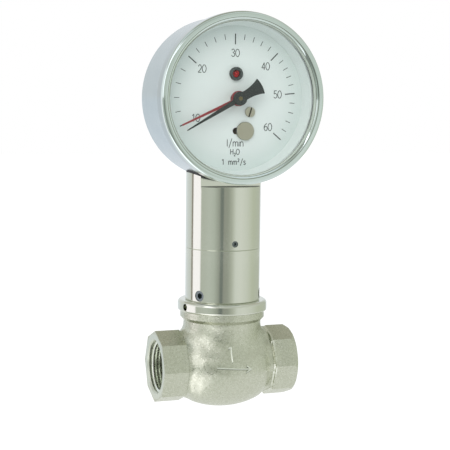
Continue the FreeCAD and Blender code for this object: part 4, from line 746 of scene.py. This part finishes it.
def raised_strip(name, lines, half_width, finish, rise, drop=0.0):
    """A strip along lines of (x, z) points, laid on the casting's front and lowered by a drop."""
    curve = round_pen(name, half_width, 2, 12)
    for corners in lines:
        line = [Vector(first).lerp(Vector(last), step / STEPS_PER_LINE)
                for first, last in zip(corners, corners[1:]) for step in range(STEPS_PER_LINE)]
        line.append(Vector(corners[-1]))
        spline = curve.splines.new("BEZIER")
        spline.bezier_points.add(len(line) - 1)
        for knot, (across, level) in zip(spline.bezier_points, line):
            knot.co = (across, 0, level - drop)
            knot.handle_left_type = knot.handle_right_type = "VECTOR"
    bm = drawn(curve)
    for point in bm.verts:
        hit = skin.ray_cast(Vector((point.co.x, -60, point.co.z)), Vector((0, 1, 0)))[0]
        point.co.y = hit.y + rise * point.co.y
    finish_piece(bm, name, "housing", finish, ON_PIPE)


# The raised strips are painted brighter than the skin: a painted highlight.
painted_sheen = Finish("painted_sheen_relief", tone(216, 220, 207), 0.3, 1.0)
painted_sheen.mottle(0.9, 2.0, (205, 210, 196), (228, 231, 219)).grit(0.8, 2.0, 0.08)
# The narrow dark strip at the foot of each raised strip: painted shade.
painted_foot_shade = Finish("painted_foot_shade", tone(112, 116, 102), 0.55, 0.6)
painted_foot_shade.mottle(0.8, 2.0, (96, 100, 88), (134, 138, 122))
ARROW = [[(MIDDLE - 13, 3.0), (MIDDLE + 10, 1.2)],
         [(MIDDLE + 6.5, 3.6), (MIDDLE + 10, 1.2), (MIDDLE + 6.2, -0.7)]]
BAR = [[(MIDDLE - 2.8, 6.2), (MIDDLE - 2.8, 15.6)], [(MIDDLE - 4.6, 14.2), (MIDDLE - 2.8, 15.6)]]
for name, lines in (("flow_arrow", ARROW), ("casting_mark", BAR)):
    raised_strip(name, lines, STRIP_HALF_WIDTH, painted_sheen, STRIP_RISE)
    raised_strip(name + "_foot", lines, FOOT_HALF_WIDTH, painted_foot_shade, FOOT_RISE, FOOT_DROP)

# %% [markdown]
# ## Screw thread in the ports
# Pipe thread is one ridge that winds into the port, 2.3 mm further with every turn. The spin operator
# does just that when it is given a step along the axis as well as an angle: the ridge's outline is drawn
# once, spun for seven turns, and closed at its two ends. The mouth of each port is machined too, so it
# gets a crisp turned ring over the rougher skin, and the octagon gets back its crisp corners.

# %% Threads and mouths
PITCH = 2.309
THREAD_TURNS = 7
THREAD_START = 0.6
THREAD_ROOT = 16.75
THREAD_CREST = 15.2
OCTAGON = 23.34
machined = turned_finish("machined_thread", tone(232, 236, 226), 0.2, (0, 0, 0), "X", 0.4)
faced = turned_finish("faced_mouth", tone(201, 206, 192), 0.3, (0, 0, 0), "Z", 0.5, 0.0004)


def port_thread(name, start, inwards):
    """A ridge that winds into a port, from its mouth in the given direction along X."""
    bm = bmesh.new()
    outline = [(0.25, THREAD_ROOT), (0.95, THREAD_CREST), (1.3, THREAD_CREST), (2.0, THREAD_ROOT)]
    points = [bm.verts.new((start + inwards * along, 0, radius)) for along, radius in outline]
    lines = [bm.edges.new(pair) for pair in zip(points, points[1:] + points[:1])]
    face = bm.faces.new(points)
    steps = THREAD_TURNS * 72
    bmesh.ops.spin(bm, geom=points + lines + [face], cent=(0, 0, 0), axis=(1, 0, 0),
                   angle=THREAD_TURNS * 2 * math.pi, dvec=(inwards * THREAD_TURNS * PITCH / steps, 0, 0),
                   steps=steps, use_merge=False, use_duplicate=False)
    finish_piece(bm, name, "housing", machined, ON_PIPE, sharp=28)


def port_mouth(name, start, inwards):
    """The bevelled ring at the mouth of a port."""
    ring = [(16.6, 2.2), (16.6, 1.1), (17.7, -0.02), (20.9, -0.02), (20.9, 0.4), (18.2, 2.2)]
    bm = spun([(radius, start + inwards * along) for radius, along in ring], axis=(1, 0, 0))
    finish_piece(bm, name, "housing", faced, ON_PIPE)


def port_octagon(name, start, inwards, outer, inner):
    """A port's octagon with crisp corners, between two depths, and its slope down to the shoulder."""
    bm = bmesh.new()
    across_pipe = Matrix.Rotation(math.radians(90), 4, "Y")
    rims = []
    for radius, segments, along in ((OCTAGON, 8, outer), (OCTAGON, 8, inner), (21.9, 8, SHOULDER),
                                    (18.0, 64, SHOULDER), (20.8, 64, outer)):
        ring = bmesh.ops.create_circle(bm, cap_ends=False, radius=radius, segments=segments, matrix=(
            Matrix.Translation((start + inwards * along, 0, 0)) @ across_pipe))
        rims.append(list({e for v in ring["verts"] for e in v.link_edges}))
    for rim, next_rim in zip(rims, rims[1:] + rims[:1]):
        bmesh.ops.bridge_loops(bm, edges=rim + next_rim)
    finish_piece(bm, name, "housing", cast, ON_PIPE)


port_octagon("inlet_octagon", 0, 1, 0, SHOULDER - 0.8)
port_octagon("outlet_octagon", PORTS_APART, -1, 2.75, SHOULDER - 2.2)
port_thread("inlet_thread", THREAD_START, 1)
port_thread("outlet_thread", PORTS_APART - THREAD_START, -1)
port_mouth("inlet_mouth", 0, 1)
port_mouth("outlet_mouth", PORTS_APART, -1)

# %% [markdown]
# ## Print on the dial
# The scale is printed, so it is as flat as ink. Its marks are thin bars turned to their angles. They
# are not evenly spaced, because the flow through the cone does not grow evenly with its lift. The digits
# are drawn with a pen of even width, as on a technical drawing: each is a curve whose round section is
# pressed nearly flat, which gives clean round line ends.

# %% Scale marks
DIAL_FRONT = 20.3
INK_HEIGHT = 0.04
MARKS = {10: -154.24, 12: -167.19, 14: 179.81, 16: 166.6, 18: 153.62, 20: 140.54, 22: 130.71, 24: 120.77,
         26: 110.9, 28: 100.82, 30: 90.67, 32: 81.49, 34: 72.27, 36: 63.55, 38: 54.51, 40: 45.69, 42: 37.64,
         44: 29.64, 46: 21.6, 48: 13.6, 50: 5.36, 52: -3.6, 54: -12.76, 56: -21.79, 58: -30.75, 60: -39.67}
MARK_OUTER = 40.5
LONG_MARK_INNER, LONG_MARK_WIDTH = 33.8, 0.72
MARK_INNER, MARK_WIDTH = 37.0, 0.42

bm = bmesh.new()
for flow, angle in MARKS.items():
    inner, width = (LONG_MARK_INNER, LONG_MARK_WIDTH) if flow % 10 == 0 else (MARK_INNER, MARK_WIDTH)
    bar = (Matrix.Rotation(math.radians(angle), 4, "Z")
           @ Matrix.Translation(((inner + MARK_OUTER) / 2, 0, DIAL_FRONT))
           @ Matrix.Diagonal((MARK_OUTER - inner, width, INK_HEIGHT, 1)))
    bmesh.ops.create_cube(bm, size=1, matrix=bar)
finish_piece(bm, "scale_marks", "housing", print_ink, ON_GAUGE)

# %% [markdown]
# ## Lettering
# Every glyph is a few lines through knots on a grid, one unit high. The pen passes smoothly through a
# knot of two numbers and turns a corner at a knot of three.

# %% Numbers and units
GLYPHS = {
    "0": [[(0.23, 1), (0.46, 0.74), (0.46, 0.26), (0.23, 0), (0, 0.26), (0, 0.74), (0.23, 1)]],
    "1": [[(0.04, 0.78, 0), (0.24, 1, 0), (0.24, 0, 0)]],
    "2": [[(0.02, 0.78), (0.23, 1), (0.45, 0.76), (0.36, 0.45), (0.0, 0, 0), (0.46, 0, 0)]],
    "3": [[(0.02, 0.84), (0.22, 1), (0.43, 0.78), (0.2, 0.55, 0)],
          [(0.2, 0.55, 0), (0.46, 0.28), (0.22, 0), (0, 0.18)]],
    "4": [[(0.36, 0, 0), (0.36, 1, 0), (0, 0.28, 0), (0.48, 0.28, 0)]],
    "5": [[(0.43, 1, 0), (0.07, 1, 0), (0.04, 0.55, 0), (0.24, 0.63), (0.46, 0.32), (0.23, 0), (0, 0.16)]],
    "6": [[(0.4, 0.98), (0.12, 0.78), (0, 0.32), (0.23, 0), (0.46, 0.3), (0.23, 0.58), (0.02, 0.4)]],
    "l": [[(0.06, 1, 0), (0.06, 0, 0)]],
    "/": [[(0.06, -0.2, 0), (0.42, 1.12, 0)]],
    "m": [[(0, 0, 0), (0, 0.68, 0)], [(0, 0.5), (0.16, 0.68), (0.3, 0.5, 0), (0.3, 0, 0)],
          [(0.3, 0.5), (0.46, 0.68), (0.6, 0.5, 0), (0.6, 0, 0)]],
    "i": [[(0, 0, 0), (0, 0.68, 0)], [(0, 0.88, 0), (0, 0.92, 0)]],
    "n": [[(0, 0, 0), (0, 0.68, 0)], [(0, 0.48), (0.19, 0.68), (0.36, 0.48, 0), (0.36, 0, 0)]],
    "H": [[(0, 0, 0), (0, 1, 0)], [(0.46, 0, 0), (0.46, 1, 0)], [(0, 0.52, 0), (0.46, 0.52, 0)]],
    "O": [[(0.27, 1), (0.52, 0.7), (0.52, 0.3), (0.27, 0), (0, 0.3), (0, 0.7), (0.27, 1)]],
    "s": [[(0.32, 0.58), (0.17, 0.68), (0.02, 0.52), (0.17, 0.36), (0.34, 0.17), (0.17, 0), (0, 0.1)]],
    " ": [],
}
SMALL_LIFT = {"_": -0.28, "^": 0.52}
SMALL_SIZE = 0.55
GAP = 0.16
PEN_HALF_WIDTH = 0.25
PEN_FLATNESS = 0.1


def glyph_width(glyph):
    return {"1": 0.38, " ": 0.42}.get(glyph) or max(knot[0] for line in GLYPHS[glyph] for knot in line)


def print_line(curve, text, centre, height, width):
    """Adds a line of lettering to a curve. The sign _ or ^ before a figure sets it small and low or high."""
    pens, across, size, lift = [], 0.0, 1.0, 0.0
    for glyph in text:
        if glyph in SMALL_LIFT:
            size, lift = SMALL_SIZE, SMALL_LIFT[glyph]
            continue
        for line in GLYPHS[glyph]:
            pens.append([(across + knot[0] * size, knot[1] * size + lift, len(knot) == 2) for knot in line])
        across += glyph_width(glyph) * size + GAP
        size, lift = 1.0, 0.0
    total = across - GAP
    for line in pens:
        hard = [0] + [i for i in range(1, len(line) - 1) if not line[i][2]] + [len(line) - 1]
        for first, last in zip(hard, hard[1:]):
            knots = line[first:last + 1]
            closed = knots[0] == knots[-1]
            knots = knots[:-1] if closed else knots
            spline = curve.splines.new("BEZIER")
            spline.bezier_points.add(len(knots) - 1)
            spline.use_cyclic_u = closed
            for knot, (x, y, smooth) in zip(spline.bezier_points, knots):
                knot.co = (centre[0] + (x / total - 0.5) * width, centre[1] + (y - 0.5) * height, 0)
                knot.handle_left_type = knot.handle_right_type = "AUTO" if smooth else "VECTOR"


LINES = [("10", (-26.15, -12.35), 4.65, 5.0), ("20", (-22.4, 18.24), 4.65, 5.1),
         ("30", (-0.4, 28.5), 4.65, 5.1), ("40", (20.05, 20.61), 4.65, 5.1),
         ("50", (28.55, 2.97), 4.65, 5.0), ("60", (22.25, -17.75), 4.65, 5.0),
         ("l/min", (0.1, -27.9), 4.5, 11.0), ("H_2O", (0.1, -33.5), 3.4, 5.9),
         ("1 mm^2/s", (-0.6, -39.9), 3.5, 16.0)]
curve = round_pen("lettering", PEN_HALF_WIDTH, 1, 6)
for text, centre, height, width in LINES:
    print_line(curve, text, centre, height, width)
bm = drawn(curve)
bmesh.ops.scale(bm, verts=bm.verts, vec=(1, 1, PEN_FLATNESS))
bmesh.ops.translate(bm, verts=bm.verts, vec=(0, 0, DIAL_FRONT))
finish_piece(bm, "lettering", "housing", print_ink, ON_GAUGE)

# %% [markdown]
# ## The bezel
# The bezel is rolled from thin steel and polished, so it has no sharp edge at all: a big round outside, a
# slope inside, and a narrow lip that lies on the glass. Its outline is drawn from straight runs and one
# round, then spun. The round is what draws the fine light and dark lines all round the dial, because it
# mirrors the whole studio in a very narrow band.

# %% Bezel
def rounding(centre, radius, first, last, steps):
    """Points along an arc of a profile, from one angle to another in degrees."""
    angles = [math.radians(first + (last - first) * i / steps) for i in range(steps + 1)]
    return [(centre[0] + radius * math.cos(a), centre[1] + radius * math.sin(a)) for a in angles]


outline = [(52.35, 27.55), (53.3, 27.55), (53.5, 27.75)]
outline += rounding((51.35, 35.75), 2.15, 0, 60, 12)
outline += [(51.65, 37.85), (51.25, 37.9), (50.3, 37.9), (50.05, 37.88), (49.6, 37.76),
            (49.2, 37.55), (48.35, 37.0), (48.14, 36.85), (48.1, 35.0),
            (47.95, 34.85), (47.5, 34.8), (47.38, 34.5), (47.4, 34.28), (51.45, 34.28),
            (51.45, 31.2), (52.35, 31.2)]
finish_piece(spun(outline, 240), "bezel_rolled", "housing", chrome, ON_GAUGE, ("bezel_ring",),
             sharp=40)

# %% [markdown]
# ## Window and lamp
# The pane is one disc of glass whose rim is ground, so its two edges get a small bevel. The lamp's lens
# is moulded with facets that catch the light one by one. An icosphere pressed flat has just such a pattern
# of triangles, and it keeps them crisp because the piece is told to treat every edge as sharp.

# %% Window and lens
PANE_RADIUS = 51.3
PANE_BACK, PANE_FRONT = 31.2, 34.2
LENS_RADIUS = 2.3
LENS_FLATNESS = 0.42
LENS_CENTRE = (0, 15.5, 21.0)
bm = spun([(0.01, PANE_BACK), (PANE_RADIUS, PANE_BACK), (PANE_RADIUS, PANE_FRONT), (0.01, PANE_FRONT)],
          steps=96)
rim = [e for e in bm.edges if all(abs(math.hypot(v.co.x, v.co.y) - PANE_RADIUS) < 0.01 for v in e.verts)
       and abs(e.verts[0].co.z - e.verts[1].co.z) < 0.01]
bmesh.ops.bevel(bm, geom=rim, offset=0.25, offset_type="OFFSET", segments=2, profile=0.5, affect="EDGES",
                material=-1)
finish_piece(bm, "window_pane", "housing", glass, ON_GAUGE, ("window",))

bm = bmesh.new()
bmesh.ops.create_icosphere(bm, subdivisions=2, radius=LENS_RADIUS)
bmesh.ops.scale(bm, verts=bm.verts, vec=(1, 1, LENS_FLATNESS))
bmesh.ops.translate(bm, verts=bm.verts, vec=LENS_CENTRE)
finish_piece(bm, "lamp_lens", "housing", red_lens, ON_GAUGE, sharp=1)
